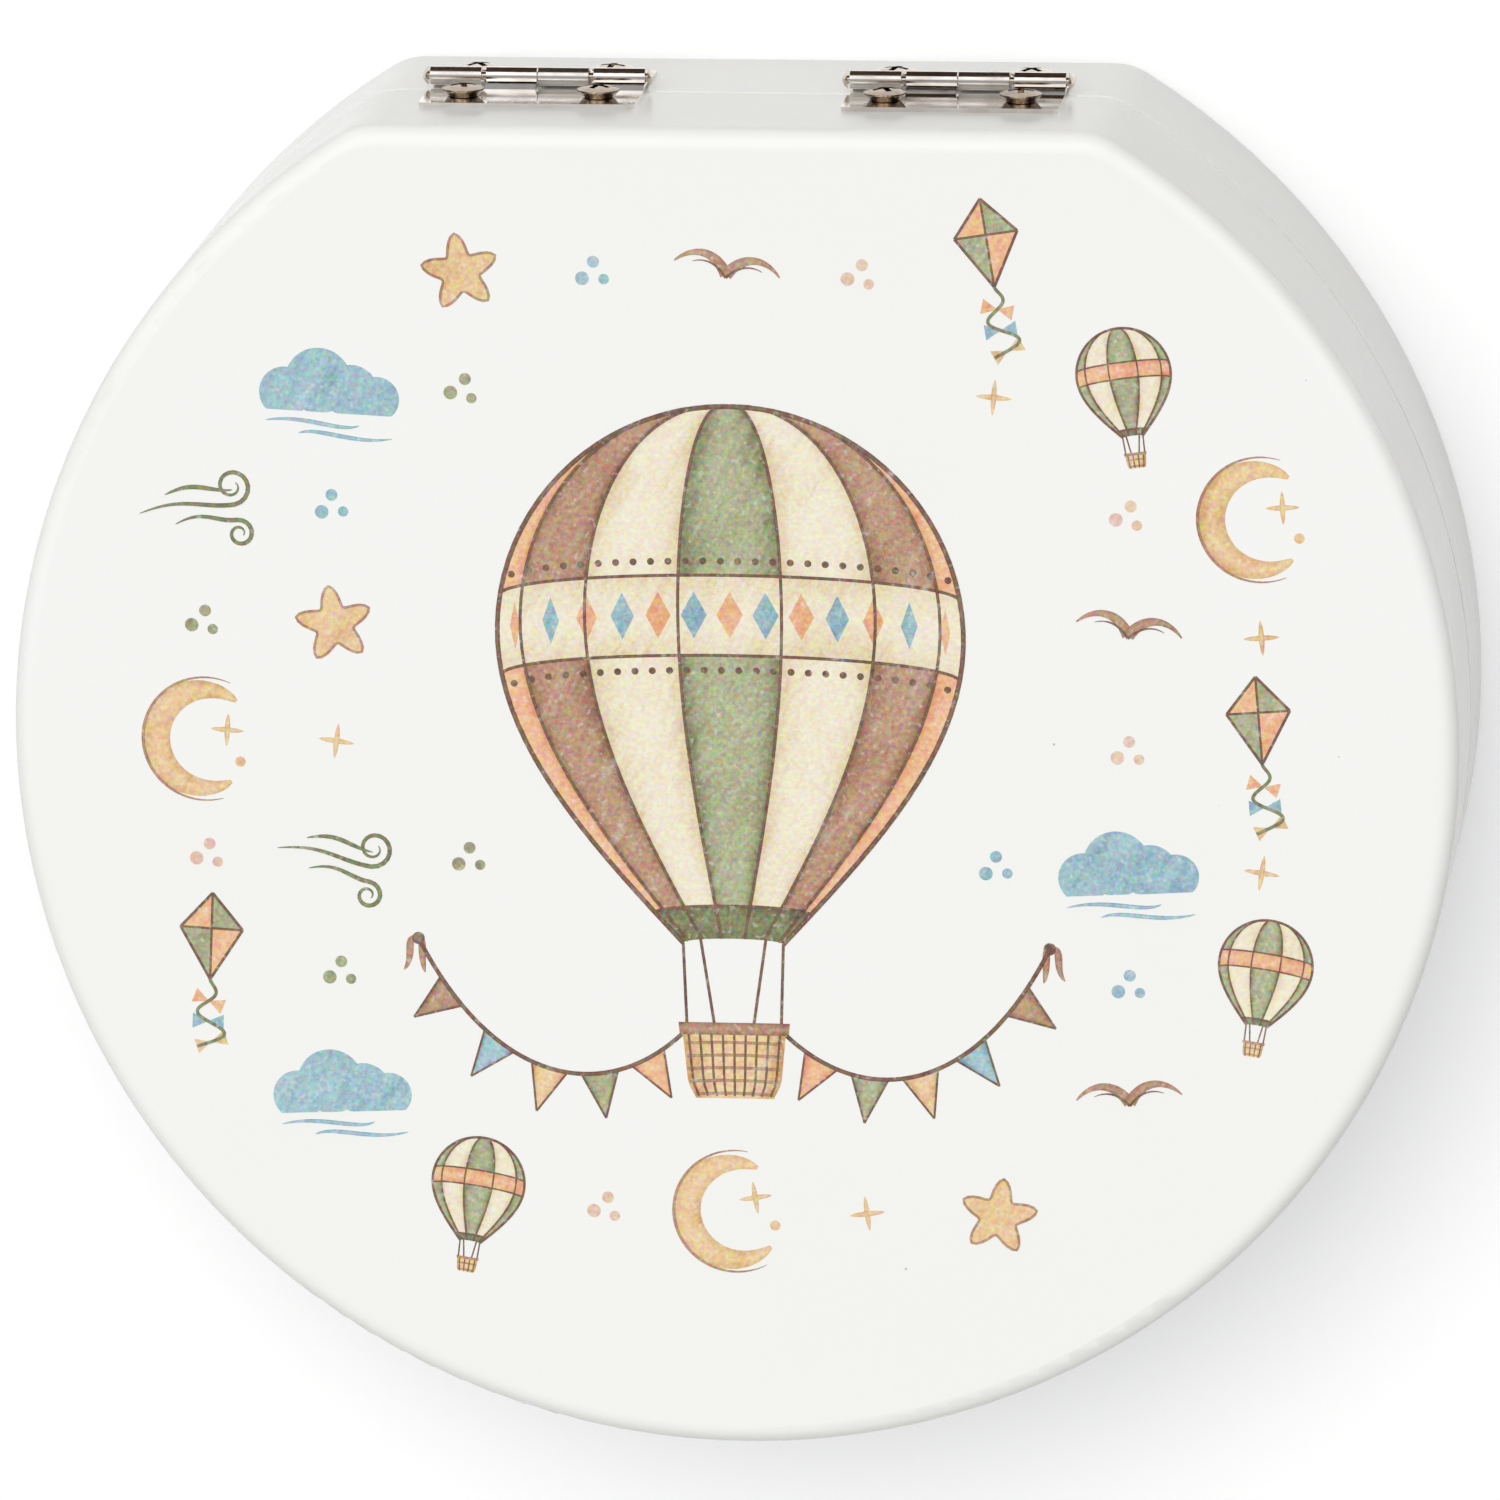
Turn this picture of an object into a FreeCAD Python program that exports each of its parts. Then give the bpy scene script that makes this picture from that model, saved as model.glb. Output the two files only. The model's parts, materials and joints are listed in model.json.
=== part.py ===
"""Baby tooth box: a lacquered wooden case, round with a straight back, and a lid on two small hinges.

The case is two milled halves that meet at their rims. The lower half holds a drilled tray with a well
for each milk tooth and a round keepsake compartment, on a felt sheet. Magnets let into the rims hold
the lid shut.

Frame: millimetres, +Z up. The origin is the centre of the round, on the underside. +Y points to the
straight back with the hinges, and +X is to the right of someone who looks along +Y from the front.
"""

import FreeCAD, Part

import math
import os

import Sketcher

SIZES = {
    # the two wooden halves
    "box_radius": 57.5,
    "back_cut": 8.0,
    "corner_radius": 5.0,
    "base_height": 15.6,
    "lid_height": 16.4,
    "rim_wall": 9.0,
    "pocket_corner": 5.0,
    "base_floor": 4.0,
    "lid_panel": 5.0,
    "lid_cove": 3.0,
    "lid_round": 1.6,
    "base_round": 1.0,
    "rim_chamfer": 0.35,
    "lip_ease": 0.35,
    # the thumb notch in the front of the base's rim
    "notch_radius": 16.0,
    "notch_depth": 2.6,
    "notch_height": 3.2,
    # the tray and the felt under it
    "felt_thickness": 1.0,
    "tray_drop": 2.0,
    "tray_clearance": 0.2,
    "tray_ease": 0.6,
    "tray_border": 2.9,
    "wells_per_arch": 10,
    "well_step_angle": 17.0,
    "well_web": 1.74,
    "keepsake_web": 7.4,
    # the closing magnets
    "magnet_radius": 3.0,
    "magnet_height": 2.0,
    "magnet_ease": 0.25,
    "magnet_spacing": 44.0,
    "magnet_clearance": 0.05,
    "magnet_recess": 0.1,
    # the hinges
    "hinge_inset": 2.48,
    "hinge_length": 17.2,
    "leaf_reach": 7.6,
    "leaf_thickness": 0.35,
    "leaf_corner": 0.35,
    "axis_standoff": 1.15,
    "knuckle_pairs": 2,
    "knuckle_gap": 0.4,
    "bearing_gap": 0.1,
    "knuckle_clearance": 0.4,
    "notch_run": 0.1,
    "curl_end_angle": 115.0,
    "pin_radius": 0.35,
    "pin_clearance": 0.05,
    "pin_end_gap": 0.2,
    "pin_head_radius": 0.75,
    "pin_head_height": 0.45,
    # the hinge screws
    "screw_inset": 3.2,
    "screw_margin": 1.3,
    "screw_head_radius": 1.7,
    "screw_head_height": 1.0,
    "screw_head_dome": 0.3,
    "screw_head_land": 0.12,
    "screw_radius": 1.0,
    "screw_length": 6.0,
    "screw_tip": 1.6,
    "screw_clearance": 0.05,
    "leaf_hole_clearance": 0.2,
    "recess_length": 2.0,
    "recess_width": 0.5,
    "recess_depth": 0.5,
    # how far a cut runs past the face that it starts from
    "cut_overrun": 1.0,
}

# Expressions that several pieces share, each in brackets so that it can stand inside another.
REAR = "(sizes.box_radius - sizes.back_cut)"
POCKET_RADIUS = "(sizes.box_radius - sizes.rim_wall)"
POCKET_REAR = f"({REAR} - sizes.rim_wall)"
TRAY_HEIGHT = "(sizes.base_height - sizes.base_floor - sizes.felt_thickness - sizes.tray_drop)"
ARCH_Y = "(-sizes.back_cut / 2)"
ARCH_HALF_SPAN = "(sizes.well_step_angle * (sizes.wells_per_arch - 1) / 2)"
HALF_STEP_SINE = "sin(sizes.well_step_angle / 2)"
ARCH_ROOM = f"(({POCKET_RADIUS} + {POCKET_REAR}) / 2 - sizes.tray_border)"
ARCH_RADIUS = f"(({ARCH_ROOM} + sizes.well_web / 2) / (1 + {HALF_STEP_SINE}))"
WELL_RADIUS = f"({ARCH_RADIUS} * {HALF_STEP_SINE} - sizes.well_web / 2)"
KEEPSAKE_RADIUS = f"({ARCH_RADIUS} - {WELL_RADIUS} - sizes.keepsake_web)"
RIM_MIDDLE = "(sizes.box_radius - sizes.rim_wall / 2)"
MAGNET_X = "(sizes.magnet_spacing / 2)"
MAGNET_Y = f"(-sqrt({RIM_MIDDLE}^2 - {MAGNET_X}^2))"
CORNER_SWING = "(sizes.box_radius - sizes.corner_radius)"
CORNER_Y = f"({REAR} - sizes.corner_radius)"
BACK_END = f"sqrt({CORNER_SWING}^2 - {CORNER_Y}^2)"
HINGE_X = f"({BACK_END} - sizes.hinge_inset - sizes.hinge_length / 2)"
AXIS_Y = f"({REAR} + sizes.axis_standoff)"
BARREL_INNER = "(sizes.pin_radius + sizes.pin_clearance)"
BARREL_OUTER = f"({BARREL_INNER} + sizes.leaf_thickness)"
BEND_START = f"({BARREL_OUTER} + sizes.knuckle_clearance)"
BEND_END = f"({BEND_START} + sizes.axis_standoff - {BARREL_OUTER})"
NOTCH_FLOOR = f"({BEND_END} + sizes.notch_run)"
KNUCKLE_PITCH = "(sizes.hinge_length / (2 * sizes.knuckle_pairs))"
SCREW_X = "(sizes.hinge_length / 2 - sizes.screw_inset)"
SCREW_Z = "(sizes.leaf_reach - sizes.screw_head_radius - sizes.screw_margin)"
LEAF_HOLE_RADIUS = "(sizes.screw_radius + sizes.leaf_hole_clearance)"
SCREW_RIM = "(sizes.screw_head_height - sizes.screw_head_dome)"
SCREW_NECK = f"({LEAF_HOLE_RADIUS} - sizes.screw_clearance)"

# The sign of each side along X, for use in an expression.
SIDES = {"left": "-1", "right": "1"}
# How far each screw's cross recess happens to be turned, in degrees.
SCREW_TURNS = {"left": (14, 62, 38, 81), "right": (27, 5, 70, 49)}

# How close to level an edge must lie to be taken as level, in millimetres.
LEVEL_TOLERANCE = 1e-5
UP = FreeCAD.Vector(0, 0, 1)
ACROSS = FreeCAD.Vector(0, 1, 0)
HALF_TURN = 180
# A sketch numbers the points of an edge, and its own two axes downwards from nought, in these orders.
POINT_WORDS = ("edge", "start", "end", "centre")
AXIS_WORDS = ("none", "level axis", "upright axis")
ORIGIN = ("level axis", "start")

doc = FreeCAD.newDocument("baby_tooth_box")
sheet = doc.addObject("Spreadsheet::Sheet", "sizes")


def fill_sheet():
    """Writes every driving size into its own cell, with its name as the alias."""
    for row, (name, number) in enumerate(SIZES.items(), start=1):
        sheet.set(f"A{row}", name)
        sheet.set(f"B{row}", str(number))
        sheet.setAlias(f"B{row}", name)
    doc.recompute()


def value(expression):
    """The number that an expression has at the sheet's present sizes."""
    return float(sheet.evalExpression(expression))


# Helpers for bodies, sketches and features.


def new_body(name):
    """A body whose label is the name of the sub-part."""
    body = doc.addObject("PartDesign::Body", name)
    body.Label = name
    return body


def place(thing, x, y, z, axis=UP, degrees=0):
    """Turns a sub-part about an axis and ties its place to the sheet."""
    thing.Placement = FreeCAD.Placement(FreeCAD.Vector(), FreeCAD.Rotation(axis, degrees))
    for direction, expression in zip("xyz", (x, y, z)):
        thing.setExpression(f"Placement.Base.{direction}", expression)


def new_sketch(body, name, role, **offset):
    """A sketch on one of the body's origin planes, moved along the plane's own x, y or z."""
    sketch = body.newObject("Sketcher::SketchObject", name)
    plane = next(f for f in body.Origin.OriginFeatures if f.Role == role)
    sketch.AttachmentSupport = (plane, [""])
    sketch.MapMode = "FlatFace"
    for direction, expression in offset.items():
        sketch.setExpression(f"AttachmentOffset.Base.{direction}", expression)
    return sketch


def line(sketch, start, end):
    """A straight edge between two points."""
    return sketch.addGeometry(Part.LineSegment(FreeCAD.Vector(*start, 0), FreeCAD.Vector(*end, 0)))


def arc(sketch, centre, radius, start, end):
    """A round edge, counter-clockwise between two angles in radians."""
    circle = Part.Circle(FreeCAD.Vector(*centre, 0), UP, radius)
    return sketch.addGeometry(Part.ArcOfCircle(circle, start, end))


def numbered(references):
    """Edges and points as a sketch's own numbers, where some are given as words."""
    numbers = []
    for reference in references:
        if reference in AXIS_WORDS:
            numbers.append(-AXIS_WORDS.index(reference))
        elif reference in POINT_WORDS:
            numbers.append(POINT_WORDS.index(reference))
        else:
            numbers.append(reference)
    return numbers


def relate(sketch, kind, *references):
    """A constraint that holds no size."""
    sketch.addConstraint(Sketcher.Constraint(kind, *numbered(references)))


def dimension(sketch, kind, references, expression):
    """A constraint whose size follows the sheet."""
    constraint = Sketcher.Constraint(kind, *numbered(references), value(expression))
    index = sketch.addConstraint(constraint)
    sketch.setExpression(f"Constraints[{index}]", expression)


def locate(sketch, point, x, y):
    """Fixes a point by its distances from the sketch's origin."""
    dimension(sketch, "DistanceX", (*ORIGIN, *point), x)
    dimension(sketch, "DistanceY", (*ORIGIN, *point), y)


def hole(sketch, x, y, radius):
    """A full circle at a place, all of it tied to the sheet."""
    circle = Part.Circle(FreeCAD.Vector(value(x), value(y), 0), UP, value(radius))
    index = sketch.addGeometry(circle)
    locate(sketch, (index, "centre"), x, y)
    dimension(sketch, "Radius", (index,), radius)


def rectangle(sketch, left, bottom, right, top):
    """An upright rectangle between two corners, each side tied to the sheet."""
    x0, y0, x1, y1 = (value(side) for side in (left, bottom, right, top))
    corners = [(x0, y0), (x1, y0), (x1, y1), (x0, y1)]
    edges = [line(sketch, corners[i - 1], corners[i]) for i in range(len(corners))]
    for before, after in zip(edges, edges[1:] + edges[:1]):
        relate(sketch, "Coincident", before, "end", after, "start")
    for upright, level in (edges[0:2], edges[2:4]):
        relate(sketch, "Vertical", upright)
        relate(sketch, "Horizontal", level)
    locate(sketch, (edges[0], "end"), left, bottom)
    locate(sketch, (edges[2], "end"), right, top)


def feature(body, kind, name, profile, **settings):
    """A sketch made solid or cut away, with plain settings or expressions, recomputed at once."""
    made = body.newObject(f"PartDesign::{kind}", name)
    made.Profile = profile
    for key, setting in settings.items():
        if isinstance(setting, str) and "sizes." in setting:
            made.setExpression(key, setting)
        else:
            setattr(made, key, setting)
    body.Tip = made
    doc.recompute()
    return made


def fillet(body, name, edges, radius):
    """A rounding of named edges of the body's tip."""
    made = body.newObject("PartDesign::Fillet", name)
    made.Base = edges
    made.setExpression("Radius", radius)
    body.Tip = made
    doc.recompute()
    return made


def chamfer(body, name, edges, size):
    """An even bevel of named edges of the body's tip."""
    made = body.newObject("PartDesign::Chamfer", name)
    made.Base = edges
    made.setExpression("Size", size)
    body.Tip = made
    doc.recompute()
    return made


def edges_at(solid, height, wanted=lambda point: True):
    """The feature and the names of its edges that lie level at a height and whose middle is wanted."""
    names = []
    for number, edge in enumerate(solid.Shape.Edges, start=1):
        box = edge.BoundBox
        level = math.isclose(box.ZMin, height, abs_tol=LEVEL_TOLERANCE)
        level = level and math.isclose(box.ZMax, height, abs_tol=LEVEL_TOLERANCE)
        middle = edge.valueAt((edge.FirstParameter + edge.LastParameter) / 2)
        if level and wanted(middle):
            names.append(f"Edge{number}")
    return (solid, names)


def cuts(before, after):
    """Stops the build if a cutting feature took nothing away."""
    if after.Shape.Volume >= before.Shape.Volume:
        raise RuntimeError(f"{after.Name} cuts nothing")
    return after


def flat_backed_outline(sketch, radius, flat, corner):
    """The plan of the case: a round cut off by a straight back, with rounded corners between the two."""
    r, f, c = value(radius), value(flat), value(corner)
    corner_y = f - c
    corner_x = math.sqrt((r - c) ** 2 - corner_y**2)
    lean = math.atan2(corner_y, corner_x)
    front = arc(sketch, (0, 0), r, math.pi - lean, 2 * math.pi + lean)
    right = arc(sketch, (corner_x, corner_y), c, lean, math.pi / 2)
    back = line(sketch, (corner_x, f), (-corner_x, f))
    left = arc(sketch, (-corner_x, corner_y), c, math.pi / 2, math.pi - lean)
    chain = [front, right, back, left]
    for before, after in zip(chain, chain[1:] + chain[:1]):
        relate(sketch, "Tangent", before, "end", after, "start")
    relate(sketch, "Coincident", front, "centre", *ORIGIN)
    relate(sketch, "Horizontal", back)
    relate(sketch, "Equal", right, left)
    dimension(sketch, "Radius", (front,), radius)
    dimension(sketch, "Radius", (right,), corner)
    dimension(sketch, "DistanceY", (*ORIGIN, back, "start"), flat)


# The wooden halves. Each is modelled with its rim at z = 0 and its panel above, then put in its place.


def half_case(name, height, panel, edge_round):
    """One milled half: a rounded block with a bevelled rim, a pocket and holes for its hardware."""
    body = new_body(name)
    outline = new_sketch(body, f"{name}_outline", "XY_Plane")
    flat_backed_outline(outline, "sizes.box_radius", REAR, "sizes.corner_radius")
    block = feature(body, "Pad", f"{name}_block", outline, Length=height)
    rounded = fillet(body, f"{name}_edge", edges_at(block, value(height)), edge_round)
    bevelled = chamfer(body, f"{name}_rim", edges_at(rounded, 0), "sizes.rim_chamfer")

    opening = new_sketch(body, f"{name}_opening", "XY_Plane")
    flat_backed_outline(opening, POCKET_RADIUS, POCKET_REAR, "sizes.pocket_corner")
    depth = f"{height} - {panel}"
    pocket = feature(body, "Pocket", f"{name}_pocket", opening, Length=depth, Reversed=True)
    cuts(bevelled, pocket)
    middle_of_rim = value(RIM_MIDDLE)
    middle_of_back = value(f"{REAR} - sizes.rim_wall / 2")

    def inside(point):
        return math.hypot(point.x, point.y) < middle_of_rim and point.y < middle_of_back

    lip = fillet(body, f"{name}_lip", edges_at(pocket, 0, inside), "sizes.lip_ease")
    return body, drill_for_magnets(body, drill_for_screws(body, lip))


def drill_for_screws(body, solid):
    """Pilot holes for the hinge screws, from the straight back."""
    drilling = new_sketch(body, f"{body.Name}_pilots", "XZ_Plane", z=f"-{REAR}")
    for side in SIDES.values():
        for step in SIDES.values():
            across = f"{side} * {HINGE_X} + {step} * {SCREW_X}"
            hole(drilling, across, SCREW_Z, "sizes.screw_radius + sizes.screw_clearance")
    depth = "sizes.screw_length"
    name = f"{body.Name}_pilot_holes"
    return cuts(solid, feature(body, "Pocket", name, drilling, Length=depth, Reversed=True))


def drill_for_magnets(body, solid):
    """Two blind holes in the rim, either side of the front."""
    drilling = new_sketch(body, f"{body.Name}_seats", "XY_Plane")
    for side in SIDES.values():
        hole(drilling, f"{side} * {MAGNET_X}", MAGNET_Y, "sizes.magnet_radius + sizes.magnet_clearance")
    depth = "sizes.magnet_height + sizes.magnet_recess"
    name = f"{body.Name}_magnet_seats"
    return cuts(solid, feature(body, "Pocket", name, drilling, Length=depth, Reversed=True))


def lid_shell():
    """The upper half, whose pocket runs into its panel in a cove."""
    body, drilled = half_case("lid_shell", "sizes.lid_height", "sizes.lid_panel", "sizes.lid_round")
    ceiling = value("sizes.lid_height - sizes.lid_panel")
    fillet(body, "lid_shell_cove", edges_at(drilled, ceiling), "sizes.lid_cove")
    place(body, "0", "0", "sizes.base_height")
    return body


def base_shell():
    """The lower half: turned over, and with a scooped thumb notch in the front of its rim."""
    body, drilled = half_case("base_shell", "sizes.base_height", "sizes.base_floor", "sizes.base_round")
    scoop = new_sketch(body, "base_shell_scoop", "YZ_Plane")
    axis = "sizes.notch_depth - sizes.box_radius - sizes.notch_radius"
    deep = "sizes.notch_depth - sizes.box_radius"
    axis_y, deep_y = value(axis), value(deep)
    height, over = value("sizes.notch_height"), value("sizes.cut_overrun")
    points = [(deep_y - height, height), (axis_y, height), (axis_y, -over), (deep_y, -over), (deep_y, 0)]
    edges = [line(scoop, start, end) for start, end in zip(points, points[1:])]
    bowl = arc(scoop, (deep_y - height, 0), height, 0, math.pi / 2)
    chain = [*edges, bowl]
    for before, after in zip(chain, chain[1:]):
        relate(scoop, "Coincident", before, "end", after, "start")
    roof, spine, sill, wall = edges
    relate(scoop, "Horizontal", roof)
    relate(scoop, "Vertical", spine)
    relate(scoop, "Horizontal", sill)
    relate(scoop, "Vertical", wall)
    relate(scoop, "Tangent", bowl, "end", roof, "start")
    relate(scoop, "PointOnObject", bowl, "centre", "level axis")
    relate(scoop, "PointOnObject", wall, "end", "level axis")
    dimension(scoop, "Radius", (bowl,), "sizes.notch_height")
    dimension(scoop, "DistanceX", (*ORIGIN, wall, "end"), deep)
    dimension(scoop, "DistanceX", (*ORIGIN, spine, "start"), axis)
    dimension(scoop, "DistanceY", (*ORIGIN, sill, "start"), "-sizes.cut_overrun")
    upright = (scoop, [f"Edge{spine + 1}"])
    notch = feature(body, "Groove", "base_shell_notch", scoop, ReferenceAxis=upright, Angle=2 * HALF_TURN)
    cuts(drilled, notch)
    place(body, "0", "0", "sizes.base_height", ACROSS, HALF_TURN)
    return body


# What lies in the base.


def inset_plate(name, thickness):
    """A flat-backed plate that drops into the base's pocket with a clearance all round."""
    body = new_body(name)
    outline = new_sketch(body, f"{name}_outline", "XY_Plane")
    flat_backed_outline(
        outline,
        f"{POCKET_RADIUS} - sizes.tray_clearance",
        f"{POCKET_REAR} - sizes.tray_clearance",
        "sizes.pocket_corner - sizes.tray_clearance",
    )
    return body, feature(body, "Pad", f"{name}_plate", outline, Length=thickness)


def felt_liner():
    """The felt sheet on the base's floor, which is the bottom of every well."""
    body, _ = inset_plate("felt_liner", "sizes.felt_thickness")
    place(body, "0", "0", "sizes.base_floor")
    return body


def tooth_tray():
    """The drilled tray: an arch of wells for each jaw, round a keepsake compartment."""
    body, plate = inset_plate("tooth_tray", TRAY_HEIGHT)
    middle = new_sketch(body, "tooth_tray_middle", "XY_Plane", y=ARCH_Y)
    hole(middle, "0", "0", KEEPSAKE_RADIUS)
    keepsake = feature(body, "Pocket", "tooth_tray_keepsake", middle, Length=TRAY_HEIGHT, Reversed=True)
    cuts(plate, keepsake)

    first = new_sketch(body, "tooth_tray_first_wells", "XY_Plane", y=ARCH_Y)
    for jaw in SIDES.values():
        x = f"{jaw} * {ARCH_RADIUS} * sin({ARCH_HALF_SPAN})"
        y = f"{jaw} * {ARCH_RADIUS} * cos({ARCH_HALF_SPAN})"
        hole(first, x, y, WELL_RADIUS)
    wells = feature(body, "Pocket", "tooth_tray_wells", first, Length=TRAY_HEIGHT, Reversed=True)
    cuts(keepsake, wells)

    arches = body.newObject("PartDesign::PolarPattern", "tooth_tray_arches")
    arches.Originals = [wells]
    arches.Axis = (middle, ["N_Axis"])
    arches.setExpression("Angle", f"2 * {ARCH_HALF_SPAN}")
    arches.setExpression("Occurrences", "sizes.wells_per_arch")
    body.Tip = arches
    doc.recompute()
    cuts(wells, arches)
    fillet(body, "tooth_tray_mouths", edges_at(arches, value(TRAY_HEIGHT)), "sizes.tray_ease")
    place(body, "0", "0", "sizes.base_floor + sizes.felt_thickness")
    return body


def magnet(name, side, z):
    """A disc magnet with eased edges, in its seat in the rim."""
    body = new_body(name)
    disc = new_sketch(body, f"{name}_disc", "XY_Plane")
    hole(disc, "0", "0", "sizes.magnet_radius")
    slug = feature(body, "Pad", f"{name}_slug", disc, Length="sizes.magnet_height")
    _, lower = edges_at(slug, 0)
    _, upper = edges_at(slug, value("sizes.magnet_height"))
    fillet(body, f"{name}_ease", (slug, lower + upper), "sizes.magnet_ease")
    place(body, f"{side} * {MAGNET_X}", MAGNET_Y, z)
    return body


def magnets():
    """A pair in the base and a pair in the lid, face to face when the lid is shut."""
    in_base = "sizes.base_height - sizes.magnet_recess - sizes.magnet_height"
    in_lid = "sizes.base_height + sizes.magnet_recess"
    made = []
    for word, side in SIDES.items():
        made.append(magnet(f"{word}_base_magnet", side, in_base))
        made.append(magnet(f"{word}_lid_magnet", side, in_lid))
    return made


# The hinges. Each piece is modelled about the hinge's axis, and the two leaves are alike.


def rolled_profile(sketch):
    """The section of a leaf: a plate against the wood, set over to a curl rolled round the pin."""
    inner, outer = value(BARREL_INNER), value(BARREL_OUTER)
    back, thick = -value("sizes.axis_standoff"), value("sizes.leaf_thickness")
    face, reach = back + thick, value("sizes.leaf_reach")
    bend, flat = value(BEND_START), value(BEND_END)
    end = math.radians(value("sizes.curl_end_angle"))
    tip = (math.cos(end), math.sin(end))
    back_points = [(back, reach), (back, flat), (-outer, bend), (-outer, 0)]
    face_points = [(-inner, 0), (-inner, bend), (face, flat), (face, reach)]
    back_edges = [line(sketch, a, b) for a, b in zip(back_points, back_points[1:])]
    outside = arc(sketch, (0, 0), outer, math.pi, 2 * math.pi + end)
    lip = line(sketch, [outer * t for t in tip], [inner * t for t in tip])
    inside = arc(sketch, (0, 0), inner, math.pi, 2 * math.pi + end)
    face_edges = [line(sketch, a, b) for a, b in zip(face_points, face_points[1:])]
    edge = line(sketch, face_points[-1], back_points[0])

    for run in (back_edges, face_edges):
        for before, after in zip(run, run[1:]):
            relate(sketch, "Coincident", before, "end", after, "start")
        relate(sketch, "Vertical", run[0])
        relate(sketch, "Vertical", run[2])
    relate(sketch, "Coincident", back_edges[-1], "end", outside, "start")
    relate(sketch, "Coincident", outside, "end", lip, "start")
    relate(sketch, "Coincident", lip, "end", inside, "end")
    relate(sketch, "Coincident", inside, "start", face_edges[0], "start")
    relate(sketch, "Coincident", face_edges[-1], "end", edge, "start")
    relate(sketch, "Coincident", edge, "end", back_edges[0], "start")
    relate(sketch, "Horizontal", edge)
    for curl in (outside, inside):
        relate(sketch, "Coincident", curl, "centre", *ORIGIN)
        relate(sketch, "PointOnObject", curl, "start", "level axis")
    relate(sketch, "PointOnObject", *ORIGIN, lip)
    relate(sketch, "Horizontal", back_edges[1], "end", face_edges[1], "start")
    relate(sketch, "Horizontal", back_edges[1], "start", face_edges[1], "end")
    dimension(sketch, "Radius", (outside,), BARREL_OUTER)
    dimension(sketch, "Radius", (inside,), BARREL_INNER)
    dimension(sketch, "DistanceX", (*ORIGIN, lip, "end"), f"{BARREL_INNER} * cos(sizes.curl_end_angle)")
    locate(sketch, (edge, "end"), "-sizes.axis_standoff", "sizes.leaf_reach")
    dimension(sketch, "DistanceX", (edge, "end", edge, "start"), "sizes.leaf_thickness")
    dimension(sketch, "DistanceY", (*ORIGIN, back_edges[1], "end"), BEND_START)
    dimension(sketch, "DistanceY", (*ORIGIN, back_edges[1], "start"), BEND_END)


def hinge_leaf(name, hinge_x, degrees):
    """A stamped and rolled leaf: its knuckles fill every second place along the barrel.

    The notches for the other leaf's knuckles run past the set-over into the flat of the plate.
    The leaves bear on each other in the middle of the barrel, so that their play along the pin
    shows as a wider gap at the other two joints.
    """
    body = new_body(name)
    section = new_sketch(body, f"{name}_section", "YZ_Plane")
    rolled_profile(section)
    length = "sizes.hinge_length"
    rolled = feature(body, "Pad", f"{name}_roll", section, Length=length, SideType="Symmetric")

    gaps = new_sketch(body, f"{name}_gaps", "XZ_Plane")
    half = "sizes.hinge_length / 2"
    for pair in range(int(value("sizes.knuckle_pairs"))):
        outer_gap = "sizes.cut_overrun" if pair == 0 else "sizes.bearing_gap / 2"
        left = f"2 * {pair} * {KNUCKLE_PITCH} - {half} - {outer_gap}"
        right = f"(2 * {pair} + 1) * {KNUCKLE_PITCH} - {half} + sizes.knuckle_gap / 2"
        rectangle(gaps, left, f"-{BARREL_OUTER} - sizes.cut_overrun", right, NOTCH_FLOOR)
    right_through = {"Type": "ThroughAll", "SideType": "Symmetric"}
    notched = feature(body, "Pocket", f"{name}_notches", gaps, **right_through)
    cuts(rolled, notched)

    holes = new_sketch(body, f"{name}_holes", "XZ_Plane")
    for side in SIDES.values():
        hole(holes, f"{side} * {SCREW_X}", SCREW_Z, LEAF_HOLE_RADIUS)
    drilled = feature(body, "Pocket", f"{name}_screw_holes", holes, **right_through)
    cuts(notched, drilled)

    ends = value(half)
    corners = edges_at(drilled, value("sizes.leaf_reach"), lambda point: math.isclose(abs(point.x), ends))
    fillet(body, f"{name}_corners", corners, "sizes.leaf_corner")
    place(body, hinge_x, AXIS_Y, "sizes.base_height", ACROSS, degrees)
    return body


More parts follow.
